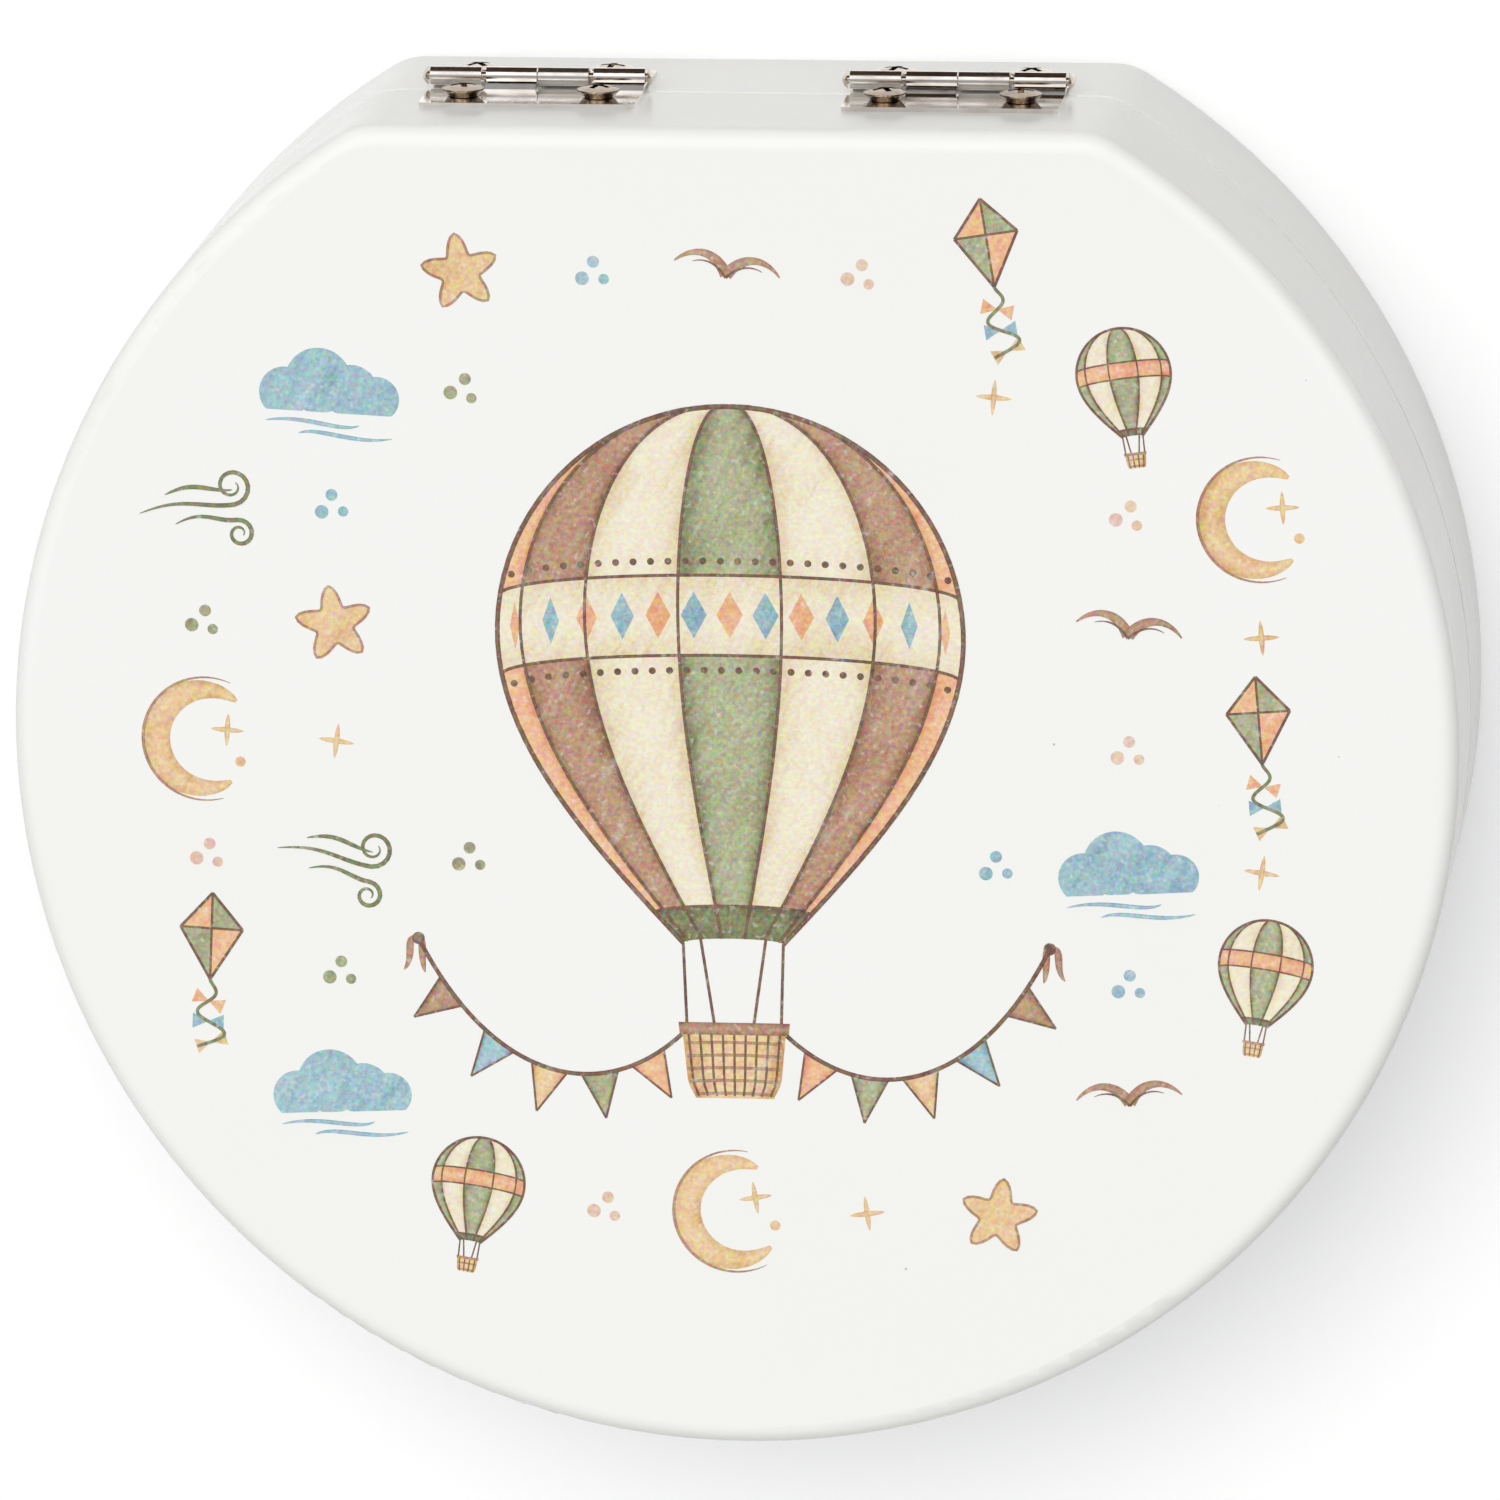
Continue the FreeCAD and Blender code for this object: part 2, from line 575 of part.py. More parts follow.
def hinge_pin(name, hinge_x):
    """The pin, with a domed head peened over each end of the barrel."""
    body = new_body(name)
    outline = new_sketch(body, f"{name}_outline", "XY_Plane")
    neck = "sizes.hinge_length / 2 + sizes.pin_end_gap"
    neck_x, thin, wide = value(neck), value("sizes.pin_radius"), value("sizes.pin_head_radius")
    rise = value("sizes.pin_head_height")
    dome = (wide**2 + rise**2) / (2 * rise)
    centre = neck_x + rise - dome
    spread = math.asin(wide / dome)
    axis = line(outline, (-neck_x - rise, 0), (neck_x + rise, 0))
    right_dome = arc(outline, (centre, 0), dome, 0, spread)
    right_step = line(outline, (neck_x, wide), (neck_x, thin))
    shank = line(outline, (neck_x, thin), (-neck_x, thin))
    left_step = line(outline, (-neck_x, thin), (-neck_x, wide))
    left_dome = arc(outline, (-centre, 0), dome, math.pi - spread, math.pi)
    chain = [axis, right_dome, right_step, shank, left_step, left_dome]
    for before, after in zip(chain, chain[1:] + chain[:1]):
        relate(outline, "Coincident", before, "end", after, "start")
    for level in (axis, shank):
        relate(outline, "Horizontal", level)
    for upright in (right_step, left_step):
        relate(outline, "Vertical", upright)
    for head in (right_dome, left_dome):
        relate(outline, "PointOnObject", head, "centre", "level axis")
    relate(outline, "Horizontal", right_step, "start", left_step, "end")
    locate(outline, (right_step, "start"), neck, "sizes.pin_head_radius")
    locate(outline, (left_step, "start"), f"-({neck})", "sizes.pin_radius")
    dimension(outline, "DistanceX", (right_step, "start", axis, "end"), "sizes.pin_head_height")
    dimension(outline, "DistanceX", (axis, "start", left_step, "end"), "sizes.pin_head_height")
    relate(outline, "PointOnObject", axis, "end", "level axis")
    along = (outline, ["H_Axis"])
    feature(body, "Revolution", f"{name}_turned", outline, ReferenceAxis=along, Angle=2 * HALF_TURN)
    place(body, hinge_x, AXIS_Y, "sizes.base_height")
    return body


def hinge_screw(name, x, z, degrees):
    """A raised countersunk screw with a cross recess, whose cone stands in the leaf's plain hole."""
    body = new_body(name)
    outline = new_sketch(body, f"{name}_outline", "XY_Plane")
    wide, neck, thin = value("sizes.screw_head_radius"), value(SCREW_NECK), value("sizes.screw_radius")
    crown, rise, rim = value("sizes.screw_head_height"), value("sizes.screw_head_dome"), value(SCREW_RIM)
    under, length = rim - value("sizes.screw_head_land"), value("sizes.screw_length")
    foot = under * (neck - thin) / (wide - neck)
    dome = (wide**2 + rise**2) / (2 * rise)
    start = math.acos(wide / dome)
    tip = value("sizes.screw_tip") - length
    points = [(0, crown), (0, -length), (thin, tip), (thin, -foot), (wide, under), (wide, rim)]
    edges = [line(outline, a, b) for a, b in zip(points, points[1:])]
    cap = arc(outline, (0, crown - dome), dome, start, math.pi / 2)
    chain = [*edges, cap]
    for before, after in zip(chain, chain[1:] + chain[:1]):
        relate(outline, "Coincident", before, "end", after, "start")
    axis, point, shank, cone, land = edges
    for upright in (axis, shank, land):
        relate(outline, "Vertical", upright)
    relate(outline, "PointOnObject", cap, "centre", "upright axis")
    relate(outline, "PointOnObject", cap, "end", "upright axis")
    dimension(outline, "DistanceY", (*ORIGIN, axis, "start"), "sizes.screw_head_height")
    dimension(outline, "DistanceY", (*ORIGIN, axis, "end"), "-sizes.screw_length")
    locate(outline, (point, "end"), "sizes.screw_radius", "sizes.screw_tip - sizes.screw_length")
    locate(outline, (land, "end"), "sizes.screw_head_radius", SCREW_RIM)
    dimension(outline, "DistanceY", (land, "start", land, "end"), "sizes.screw_head_land")
    slope = f"({SCREW_NECK} - sizes.screw_radius) / (sizes.screw_head_radius - {SCREW_NECK})"
    cone_foot = f"-({SCREW_RIM} - sizes.screw_head_land) * {slope}"
    dimension(outline, "DistanceY", (*ORIGIN, cone, "start"), cone_foot)
    centre_line = (outline, ["V_Axis"])
    spin = {"ReferenceAxis": centre_line, "Angle": 2 * HALF_TURN}
    turned = feature(body, "Revolution", f"{name}_turned", outline, **spin)

    driver = new_sketch(body, f"{name}_slot", "XZ_Plane", z="-sizes.screw_head_height")
    along, over = "sizes.recess_length / 2", "sizes.recess_width / 2"
    rectangle(driver, f"-{along}", f"-{over}", along, over)
    slot = feature(body, "Pocket", f"{name}_cut", driver, Length="sizes.recess_depth", Reversed=True)
    cuts(turned, slot)
    cross = body.newObject("PartDesign::PolarPattern", f"{name}_cross")
    cross.Originals = [slot]
    cross.Axis = (driver, ["N_Axis"])
    cross.Angle = HALF_TURN / 2
    cross.Occurrences = 2
    body.Tip = cross
    doc.recompute()
    cuts(slot, cross)
    place(body, x, f"{REAR} + sizes.leaf_thickness", z, ACROSS, degrees)
    return body


def screw_pair(name, hinge_x, up, turns):
    """The two screws of one leaf, as one sub-part of two solids."""
    z = f"sizes.base_height + {up} * {SCREW_Z}"
    screws = []
    for number, (side, degrees) in enumerate(zip(SIDES.values(), turns), start=1):
        x = f"{hinge_x} + {side} * {SCREW_X}"
        screws.append(hinge_screw(f"{name}_{number}", x, z, degrees))
    pair = doc.addObject("Part::Compound", name)
    pair.Label = name
    pair.Links = screws
    return pair


def hinge(word, side):
    """One butt hinge: a leaf on each half, the pin through their knuckles and two screws to each leaf."""
    x = f"{side} * {HINGE_X}"
    turns = SCREW_TURNS[word]
    return [
        hinge_leaf(f"{word}_hinge_lid_leaf", x, 0),
        hinge_leaf(f"{word}_hinge_base_leaf", x, HALF_TURN),
        hinge_pin(f"{word}_hinge_pin", x),
        screw_pair(f"{word}_hinge_lid_screws", x, "1", turns[:2]),
        screw_pair(f"{word}_hinge_base_screws", x, "-1", turns[2:]),
    ]


def check(parts):
    """Stops the build if anything failed to compute or a sub-part isn't a sound solid."""
    for thing in doc.Objects:
        if {"Invalid", "Error"} & set(thing.State):
            raise RuntimeError(f"{thing.Label} failed: {thing.State}")
    for part in parts:
        if part.Shape.isNull() or not part.Shape.isValid() or not part.Shape.Solids:
            raise RuntimeError(f"{part.Label} isn't a sound solid")


def main():
    """Builds every sub-part, checks it and writes it to its own file."""
    fill_sheet()
    parts = [base_shell(), lid_shell(), felt_liner(), tooth_tray(), *magnets()]
    for word, side in SIDES.items():
        parts.extend(hinge(word, side))
    doc.recompute()
    check(parts)
    os.makedirs("parts", exist_ok=True)
    for part in parts:
        part.Shape.exportStep(f"parts/{part.Label}.step")


main()
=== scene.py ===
"""Looks of the baby tooth box: lacquered halves, a printed lid, nickel hinges, a tray and felt.

Frame: metres, +Z up, with the origin at the centre of the round on the underside. +Y points to the
straight back with the hinges. The print is laid out in millimetres on the lid's face, seen from above
with the hinges at the top.
"""

from __future__ import annotations

import json
import logging
import math
from collections.abc import Callable, Sequence
from dataclasses import dataclass, replace
from enum import Enum

import bmesh
import bpy
from mathutils import Matrix, Vector, noise

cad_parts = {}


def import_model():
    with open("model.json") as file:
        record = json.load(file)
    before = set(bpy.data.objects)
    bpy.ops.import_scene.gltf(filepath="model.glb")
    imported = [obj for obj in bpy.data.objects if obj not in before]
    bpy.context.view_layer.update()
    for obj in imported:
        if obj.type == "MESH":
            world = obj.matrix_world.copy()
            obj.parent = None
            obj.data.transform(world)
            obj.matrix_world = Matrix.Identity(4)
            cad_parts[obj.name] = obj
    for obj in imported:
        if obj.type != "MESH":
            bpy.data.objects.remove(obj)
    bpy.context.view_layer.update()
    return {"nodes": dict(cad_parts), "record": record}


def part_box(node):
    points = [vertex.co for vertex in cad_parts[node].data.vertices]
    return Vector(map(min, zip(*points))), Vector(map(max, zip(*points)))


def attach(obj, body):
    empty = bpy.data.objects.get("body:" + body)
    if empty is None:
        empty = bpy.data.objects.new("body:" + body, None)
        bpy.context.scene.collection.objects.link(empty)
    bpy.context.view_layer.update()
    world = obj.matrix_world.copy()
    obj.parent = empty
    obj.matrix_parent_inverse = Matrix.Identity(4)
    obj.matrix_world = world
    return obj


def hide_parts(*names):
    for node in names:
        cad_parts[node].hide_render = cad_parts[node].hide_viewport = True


MM = 0.001
FULL_TURN = 2 * math.pi
HALF_TURN = math.pi
QUARTER_TURN = math.pi / 2
EIGHTH_TURN = math.pi / 4
FULL_CIRCLE = (0.0, 360.0)

Point = tuple[float, float]
Span = tuple[float, float]
Triple = tuple[float, float, float]
Path = Callable[[float], Point]
Web = Callable[[float, float], Point]
Nodes = dict[str, bpy.types.Object]
Socket = bpy.types.NodeSocket

log = logging.getLogger("tooth_box")


# Colours and the node trees of finishes.


@dataclass(frozen=True)
class Paint:
    """A colour as a screen shows it, with each channel from 0 to 255."""

    red: float
    green: float
    blue: float

    def linear(self) -> tuple[float, ...]:
        """The same colour as the linear light that a shader takes.

        Returns:
            Red, green, blue and a full alpha, from 0 to 1.
        """
        full, knee, slope, offset, gamma = 255, 0.04045, 12.92, 0.055, 2.4
        light = []
        for channel in (self.red / full, self.green / full, self.blue / full):
            curved = ((channel + offset) / (1 + offset)) ** gamma
            light.append(channel / slope if channel <= knee else curved)
        return (*light, 1.0)


Feed = Socket | Paint | float | tuple[float, ...]


class NodeGraph:
    """A node tree, with short calls for the nodes that the finishes and the world share."""

    MIX_FACTOR, MIX_LOW, MIX_HIGH, MIX_RESULT = 0, 6, 7, 2

    def __init__(self, tree: bpy.types.NodeTree) -> None:
        """Adds to a tree that is already there."""
        self.tree = tree

    def add(
        self, kind: str, inputs: dict[str | int, Feed] | None = None, **settings: object
    ) -> bpy.types.Node:
        """Adds a node.

        Args:
            kind: The node's type.
            inputs: What its sockets are fed, by name or number.
            settings: Its properties by name.

        Returns:
            The node.
        """
        node = self.tree.nodes.new(kind)
        for key, setting in settings.items():
            setattr(node, key, setting)
        for key, source in (inputs or {}).items():
            self.feed(node.inputs[key], source)
        return node

    def feed(self, socket: Socket, source: Feed) -> None:
        """Links a socket to another, or sets its plain value.

        Args:
            socket: The input to feed.
            source: An output, a number, a colour or a paint.
        """
        if isinstance(source, bpy.types.NodeSocket):
            self.tree.links.new(source, socket)
        else:
            socket.default_value = source.linear() if isinstance(source, Paint) else source

    def part(self, vector: Socket, axis: str) -> Socket:
        """A vector's part along one axis."""
        return self.add("ShaderNodeSeparateXYZ", {"Vector": vector}).outputs[axis]

    def math(self, operation: str, first: Feed, second: Feed = 0.0) -> Socket:
        """One sum on two numbers."""
        return self.add("ShaderNodeMath", {0: first, 1: second}, operation=operation).outputs["Value"]

    def blend(self, factor: Feed, low: Feed, high: Feed, mode: str = "MIX") -> Socket:
        """A mix of two colours.

        Args:
            factor: The share of the second colour.
            low: The first colour.
            high: The second colour.
            mode: Blender's name for the way of mixing.

        Returns:
            The mixed colour.
        """
        inputs = {self.MIX_FACTOR: factor, self.MIX_LOW: low, self.MIX_HIGH: high}
        node = self.add("ShaderNodeMix", inputs, data_type="RGBA", blend_type=mode)
        return node.outputs[self.MIX_RESULT]

    def ramp(self, source: Socket, stops: Sequence[Point]) -> Socket:
        """Grey levels along a number from 0 to 1.

        Args:
            source: The number.
            stops: Each stop's place and level.

        Returns:
            The level.
        """
        node = self.add("ShaderNodeValToRGB", {"Fac": source})
        elements = node.color_ramp.elements
        while len(elements) < len(stops):
            elements.new(1.0)
        for element, (position, level) in zip(elements, stops):
            element.position = position
            element.color = (level, level, level, 1.0)
        return node.outputs["Color"]


class ShaderGraph(NodeGraph):
    """A material's node tree, on object coordinates."""

    def __init__(self, name: str) -> None:
        """Starts a material from a principled surface.

        Args:
            name: The material's name.
        """
        self.material = bpy.data.materials.new(name)
        self.material.use_nodes = True
        super().__init__(self.material.node_tree)
        self.surface = self.tree.nodes["Principled BSDF"]
        self.place = self.add("ShaderNodeTexCoord").outputs["Object"]

    def set(self, **inputs: Feed) -> None:
        """Feeds inputs of the principled surface, with an underscore for each space in a name."""
        for name, source in inputs.items():
            self.feed(self.surface.inputs[name.replace("_", " ")], source)

    def stretched(self, sizes: Triple, turn: float = 0.0) -> Socket:
        """Object coordinates counted in features of given sizes.

        Args:
            sizes: The feature's size along each axis, in metres.
            turn: How far the pattern is turned about Z, in degrees.

        Returns:
            The coordinates.
        """
        inputs = {"Vector": self.place, "Scale": sizes, "Rotation": (0.0, 0.0, math.radians(turn))}
        return self.add("ShaderNodeMapping", inputs, vector_type="TEXTURE").outputs["Vector"]

    def noise(
        self, size: float | Socket, detail: float = 2.0, distortion: float = 0.0, output: str = "Fac"
    ) -> Socket:
        """A noise whose features have a size in metres, or follow coordinates that are stretched.

        Args:
            size: The feature's size, or stretched coordinates.
            detail: How many finer octaves it has.
            distortion: How far it is warped.
            output: "Fac" for a grey noise, "Color" for a many-coloured one.

        Returns:
            The noise.
        """
        is_stretched = isinstance(size, bpy.types.NodeSocket)
        inputs = {
            "Vector": size if is_stretched else self.place,
            "Scale": 1.0 if is_stretched else 1 / size,
            "Detail": detail,
            "Distortion": distortion,
        }
        return self.add("ShaderNodeTexNoise", inputs).outputs[output]

    def cells(self, size: float) -> Socket:
        """How far a point lies from the nearest of scattered specks, in cells of a size in metres."""
        inputs = {"Vector": self.place, "Scale": 1 / size}
        return self.add("ShaderNodeTexVoronoi", inputs).outputs["Distance"]

    def facing(self) -> Socket:
        """The way that the surface faces."""
        return self.add("ShaderNodeNewGeometry").outputs["True Normal"]

    def sideways(self) -> Socket:
        """How far the surface faces along X, to either side, from 0 to 1."""
        return self.math("ABSOLUTE", self.part(self.facing(), "X"))

    def attribute(self, name: str) -> Socket:
        """A number that the mesh itself carries."""
        return self.add("ShaderNodeAttribute", attribute_name=name).outputs["Fac"]

    def step(self, source: Socket, edge: Span, levels: Span = (0.0, 1.0)) -> Socket:
        """A smooth rise.

        Args:
            source: The number that it follows.
            edge: Where it starts and ends.
            levels: What it starts and ends at.

        Returns:
            The level.
        """
        names = ("Value", "From Min", "From Max", "To Min", "To Max")
        inputs = dict(zip(names, (source, *edge, *levels)))
        node = self.add("ShaderNodeMapRange", inputs, interpolation_type="SMOOTHSTEP")
        return node.outputs["Result"]

    def contrasted(self, colour: Socket, contrast: float) -> Socket:
        """A colour spread further from mid grey."""
        inputs = {"Color": colour, "Contrast": contrast}
        return self.add("ShaderNodeBrightContrast", inputs).outputs["Color"]

    def bump(
        self, height: Socket, depth: float, strength: float = 1.0, under: Socket | None = None
    ) -> Socket:
        """Relief from a height.

        Args:
            height: The height, from 0 to 1.
            depth: How deep a full step of it is, in metres.
            strength: How much of the relief shows.
            under: Relief that this one lies on.

        Returns:
            The bent normal.
        """
        inputs = {"Strength": strength, "Distance": depth, "Height": height}
        if under is not None:
            inputs["Normal"] = under
        return self.add("ShaderNodeBump", inputs).outputs["Normal"]


# The finishes.


@dataclass(frozen=True)
class Lacquer:
    """Sprayed white lacquer over wood: satin, with faint orange peel, tone patches and dust nibs."""

    white: Paint = Paint(243, 243, 240.5)
    warm: Paint = Paint(241.5, 241.5, 238)
    patch_size: float = 38 * MM
    patch_edge: Span = (0.35, 0.65)
    smear_size: float = 9 * MM
    smear_edge: Span = (0.3, 0.7)
    roughness: Span = (0.17, 0.23)
    gloss: float = 0.3
    peel_size: float = 1.6 * MM
    peel_depth: float = 0.003 * MM
    peel_strength: float = 0.5
    nib: Paint = Paint(196, 192, 184)
    nib_cell: float = 7 * MM
    nib_edge: Span = (0.018, 0.0108)
    nib_height: float = 0.01 * MM
    nib_strength: float = 0.6

    def material(self) -> bpy.types.Material:
        """The finish as a material.

        Returns:
            The material.
        """
        graph = ShaderGraph("white_lacquer")
        patches = graph.step(graph.noise(self.patch_size, detail=3), self.patch_edge)
        tone = graph.blend(patches, self.white, self.warm)
        nibs = graph.step(graph.cells(self.nib_cell), self.nib_edge)
        graph.set(Base_Color=graph.blend(nibs, tone, self.nib))
        smears = graph.noise(self.smear_size, detail=4)
        graph.set(Roughness=graph.step(smears, self.smear_edge, self.roughness))
        graph.set(Specular_IOR_Level=self.gloss)
        peel = graph.bump(graph.noise(self.peel_size, detail=1), self.peel_depth, self.peel_strength)
        graph.set(Normal=graph.bump(nibs, self.nib_height, self.nib_strength, peel))
        return graph.material


@dataclass(frozen=True)
class TrayWood:
    """Oiled pale hardwood: grain along X, fine pores, and darker end grain in the bores."""

    pale: Paint = Paint(222, 190, 148)
    band: Paint = Paint(196, 155, 108)
    band_sizes: Triple = (70 * MM, 4.5 * MM, 4.5 * MM)
    band_turn: float = 2.0
    band_warp: float = 0.7
    band_edge: Span = (0.32, 0.7)
    fibre_sizes: Triple = (14 * MM, 0.5 * MM, 0.5 * MM)
    fibre_turn: float = 1.0
    fibre_edge: Span = (0.4, 0.75)
    fibre_cover: Span = (0.0, 0.35)
    fibre_depth: float = 0.05 * MM
    fibre_strength: float = 0.4
    pore: Paint = Paint(140, 98, 62)
    pore_sizes: Triple = (3.2 * MM, 0.24 * MM, 0.24 * MM)
    pore_edge: Span = (0.63, 0.72)
    pore_cover: float = 0.6
    pore_depth: float = -0.06 * MM
    pore_strength: float = 0.7
    end_grain: Paint = Paint(150, 108, 70)
    end_edge: Span = (0.3, 1.0)
    end_cover: Span = (0.0, 0.75)
    rough_edge: Span = (0.2, 0.8)
    roughness: Span = (0.38, 0.55)

    def material(self) -> bpy.types.Material:
        """The finish as a material.

        Returns:
            The material.
        """
        graph = ShaderGraph("tray_wood")
        along = graph.stretched(self.band_sizes, self.band_turn)
        bands = graph.noise(along, detail=3, distortion=self.band_warp)
        tone = graph.blend(graph.step(bands, self.band_edge), self.pale, self.band)
        fibres = graph.noise(graph.stretched(self.fibre_sizes, self.fibre_turn), detail=4)
        tone = graph.blend(graph.step(fibres, self.fibre_edge, self.fibre_cover), tone, self.band)
        pores = graph.step(graph.noise(graph.stretched(self.pore_sizes), detail=1), self.pore_edge)
        tone = graph.blend(graph.math("MULTIPLY", pores, self.pore_cover), tone, self.pore)
        ends = graph.step(graph.sideways(), self.end_edge, self.end_cover)
        graph.set(Base_Color=graph.blend(ends, tone, self.end_grain))
        graph.set(Roughness=graph.step(fibres, self.rough_edge, self.roughness))
        relief = graph.bump(fibres, self.fibre_depth, self.fibre_strength)
        graph.set(Normal=graph.bump(pores, self.pore_depth, self.pore_strength, relief))
        return graph.material


@dataclass(frozen=True)
class Felt:
    """Pressed wool felt: matted fibres of two tones with a soft nap."""

    deep: Paint = Paint(133, 142, 112)
    pale: Paint = Paint(171, 178, 148)
    fibre_size: float = 0.5 * MM
    fibre_warp: float = 2.5
    fibre_edge: Span = (0.3, 0.7)
    fibre_depth: float = 0.25 * MM
    fibre_strength: float = 0.8
    clump_size: float = 4 * MM
    clump_edge: Span = (0.35, 0.7)
    clump_cover: Span = (0.0, 0.4)
    hair: Paint = Paint(206, 208, 184)
    hair_sizes: Triple = (1.6 * MM, 0.12 * MM, 0.5 * MM)
    hair_turn: float = 35.0
    hair_warp: float = 1.5
    hair_edge: Span = (0.62, 0.7)
    hair_cover: float = 0.5
    roughness: float = 0.95
    nap: float = 0.35
    nap_roughness: float = 0.4

    def material(self) -> bpy.types.Material:
        """The finish as a material.

        Returns:
            The material.
        """
        graph = ShaderGraph("wool_felt")
        fibres = graph.noise(self.fibre_size, detail=5, distortion=self.fibre_warp)
        tone = graph.blend(graph.step(fibres, self.fibre_edge), self.deep, self.pale)
        clumps = graph.noise(self.clump_size, detail=3)
        tone = graph.blend(graph.step(clumps, self.clump_edge, self.clump_cover), tone, self.deep)
        strands = graph.stretched(self.hair_sizes, self.hair_turn)
        hairs = graph.step(graph.noise(strands, detail=2, distortion=self.hair_warp), self.hair_edge)
        tone = graph.blend(graph.math("MULTIPLY", hairs, self.hair_cover), tone, self.hair)
        graph.set(Base_Color=tone, Roughness=self.roughness)
        graph.set(Sheen_Weight=self.nap, Sheen_Roughness=self.nap_roughness)
        graph.set(Normal=graph.bump(fibres, self.fibre_depth, self.fibre_strength))
        return graph.material


@dataclass(frozen=True)
class Nickel:
    """Bright nickel plate on pressed steel: rolled along X, with stains, scratches and waves.

    Where a painted shade level is given, everything before that level along Y is painted dark as
    shade, with a painted highlight where it doesn't face sideways.
    """

    name: str
    bright: Paint = Paint(244, 240, 235)
    dull: Paint = Paint(218, 210, 202)
    polish: float = 0.05
    haze: float = 0.13
    haze_edge: Span = (0.3, 0.75)
    stain_size: float = 2.4 * MM
    stain_edge: Span = (0.35, 0.75)
    scratch_sizes: Triple = (2.5 * MM, 0.05 * MM, 0.05 * MM)
    scratch_turn: float = 3.0
    scratch_depth: float = 0.003 * MM
    scratch_strength: float = 0.5
    wave_size: float = 0.9 * MM
    wave_depth: float = 0.01 * MM
    wave_strength: float = 0.35
    # Painted shade: the metal before this level along Y is painted dark, with a painted highlight.
    painted_shade_level: float | None = None
    painted_shade_level_blur: float = 0.04 * MM
    # The painted shade's colour, the painted highlight's colour, and where the highlight gives way to
    # the shade.
    dark: Paint = Paint(96, 80, 67)
    painted_glint: Paint = Paint(224, 207, 186)
    painted_glint_edge: Span = (0.1, 0.5)

    def material(self) -> bpy.types.Material:
        """The finish as a material.

        Returns:
            The material.
        """
        graph = ShaderGraph(self.name)
        stains = graph.noise(self.stain_size, detail=4)
        tone = graph.blend(graph.step(stains, self.stain_edge), self.bright, self.dull)
        # Paints shade on the metal before the level, with a painted highlight.
        if self.painted_shade_level is not None:
            tone = self.with_painted_shade(graph, tone)
        graph.set(Base_Color=tone, Metallic=1.0)
        graph.set(Roughness=graph.step(stains, self.haze_edge, (self.polish, self.haze)))
        scratches = graph.noise(graph.stretched(self.scratch_sizes, self.scratch_turn), detail=2)
        relief = graph.bump(scratches, self.scratch_depth, self.scratch_strength)
        waves = graph.noise(self.wave_size, detail=1)
        graph.set(Normal=graph.bump(waves, self.wave_depth, self.wave_strength, relief))
        return graph.material

    def with_painted_shade(self, graph: ShaderGraph, tone: Socket) -> Socket:
        """The tone with painted shade before the level along Y, and a painted highlight in that shade.

        Args:
            graph: The node tree to add to.
            tone: The plain tone.

        Returns:
            The tone.
        """
        # Painted highlight where the surface doesn't face sideways, painted shade where it does.
        dark = graph.blend(graph.step(graph.sideways(), self.painted_glint_edge), self.painted_glint, self.dark)
        edge = (self.painted_shade_level - self.painted_shade_level_blur, self.painted_shade_level + self.painted_shade_level_blur)
        return graph.blend(graph.step(graph.part(graph.place, "Y"), edge), dark, tone)


@dataclass(frozen=True)
class InkFinish:
    """Printed pencil ink: a deeper edge, pale streaks, a many-coloured grain and pinholes."""

    name: str
    body: Paint
    edge: Paint
    depth_edge: Span = (0.0, 1.3)
    wash_size: float = 5 * MM
    wash_edge: Span = (0.4, 0.75)
    wash_depth: Span = (0.0, 0.3)
    streak_turn: float = 62.0
    streak_sizes: Triple = (5 * MM, 0.9 * MM, 5 * MM)
    streak_warp: float = 0.4
    streak_edge: Span = (0.45, 0.75)
    streak_depth: Span = (0.0, 0.3)
    pale_edge: Span = (0.5, 0.2)
    pale_cover: Span = (0.0, 0.16)
    grain_size: float = 0.34 * MM
    grain_contrast: float = 1.6
    grain_cover: float = 0.5
    grain_depth: float = 0.006 * MM
    grain_strength: float = 0.4
    pinhole_size: float = 0.476 * MM
    pinhole_edge: Span = (0.58, 0.74)
    pinhole_cover: Span = (0.0, 0.28)
    rough_edge: Span = (0.3, 0.7)
    roughness: Span = (0.3, 0.4)

    def material(self) -> bpy.types.Material:
        """The finish as a material.

        Returns:
            The material.
        """
        graph = ShaderGraph(self.name)
        pencil = graph.stretched(self.streak_sizes, self.streak_turn)
        streaks = graph.noise(pencil, detail=3, distortion=self.streak_warp)
        wash = graph.step(graph.noise(self.wash_size, detail=2), self.wash_edge, self.wash_depth)
        depth = graph.math("ADD", graph.attribute(Canvas.SHADE), wash)
        depth = graph.math("ADD", depth, graph.step(streaks, self.streak_edge, self.streak_depth))
        tone = graph.blend(graph.step(depth, self.depth_edge), self.body, self.edge)
        paper = Lacquer().white
        tone = graph.blend(graph.step(streaks, self.pale_edge, self.pale_cover), tone, paper)
        specks = graph.noise(self.grain_size, detail=2, output="Color")
        grain = graph.contrasted(specks, self.grain_contrast)
        tone = graph.blend(self.grain_cover, tone, grain, "SOFT_LIGHT")
        holes = graph.noise(self.pinhole_size, detail=2)
        tone = graph.blend(graph.step(holes, self.pinhole_edge, self.pinhole_cover), tone, paper)
        graph.set(Base_Color=tone)
        graph.set(Roughness=graph.step(streaks, self.rough_edge, self.roughness))
        tooth = graph.noise(self.grain_size, detail=1)
        graph.set(Normal=graph.bump(tooth, self.grain_depth, self.grain_strength))
        return graph.material


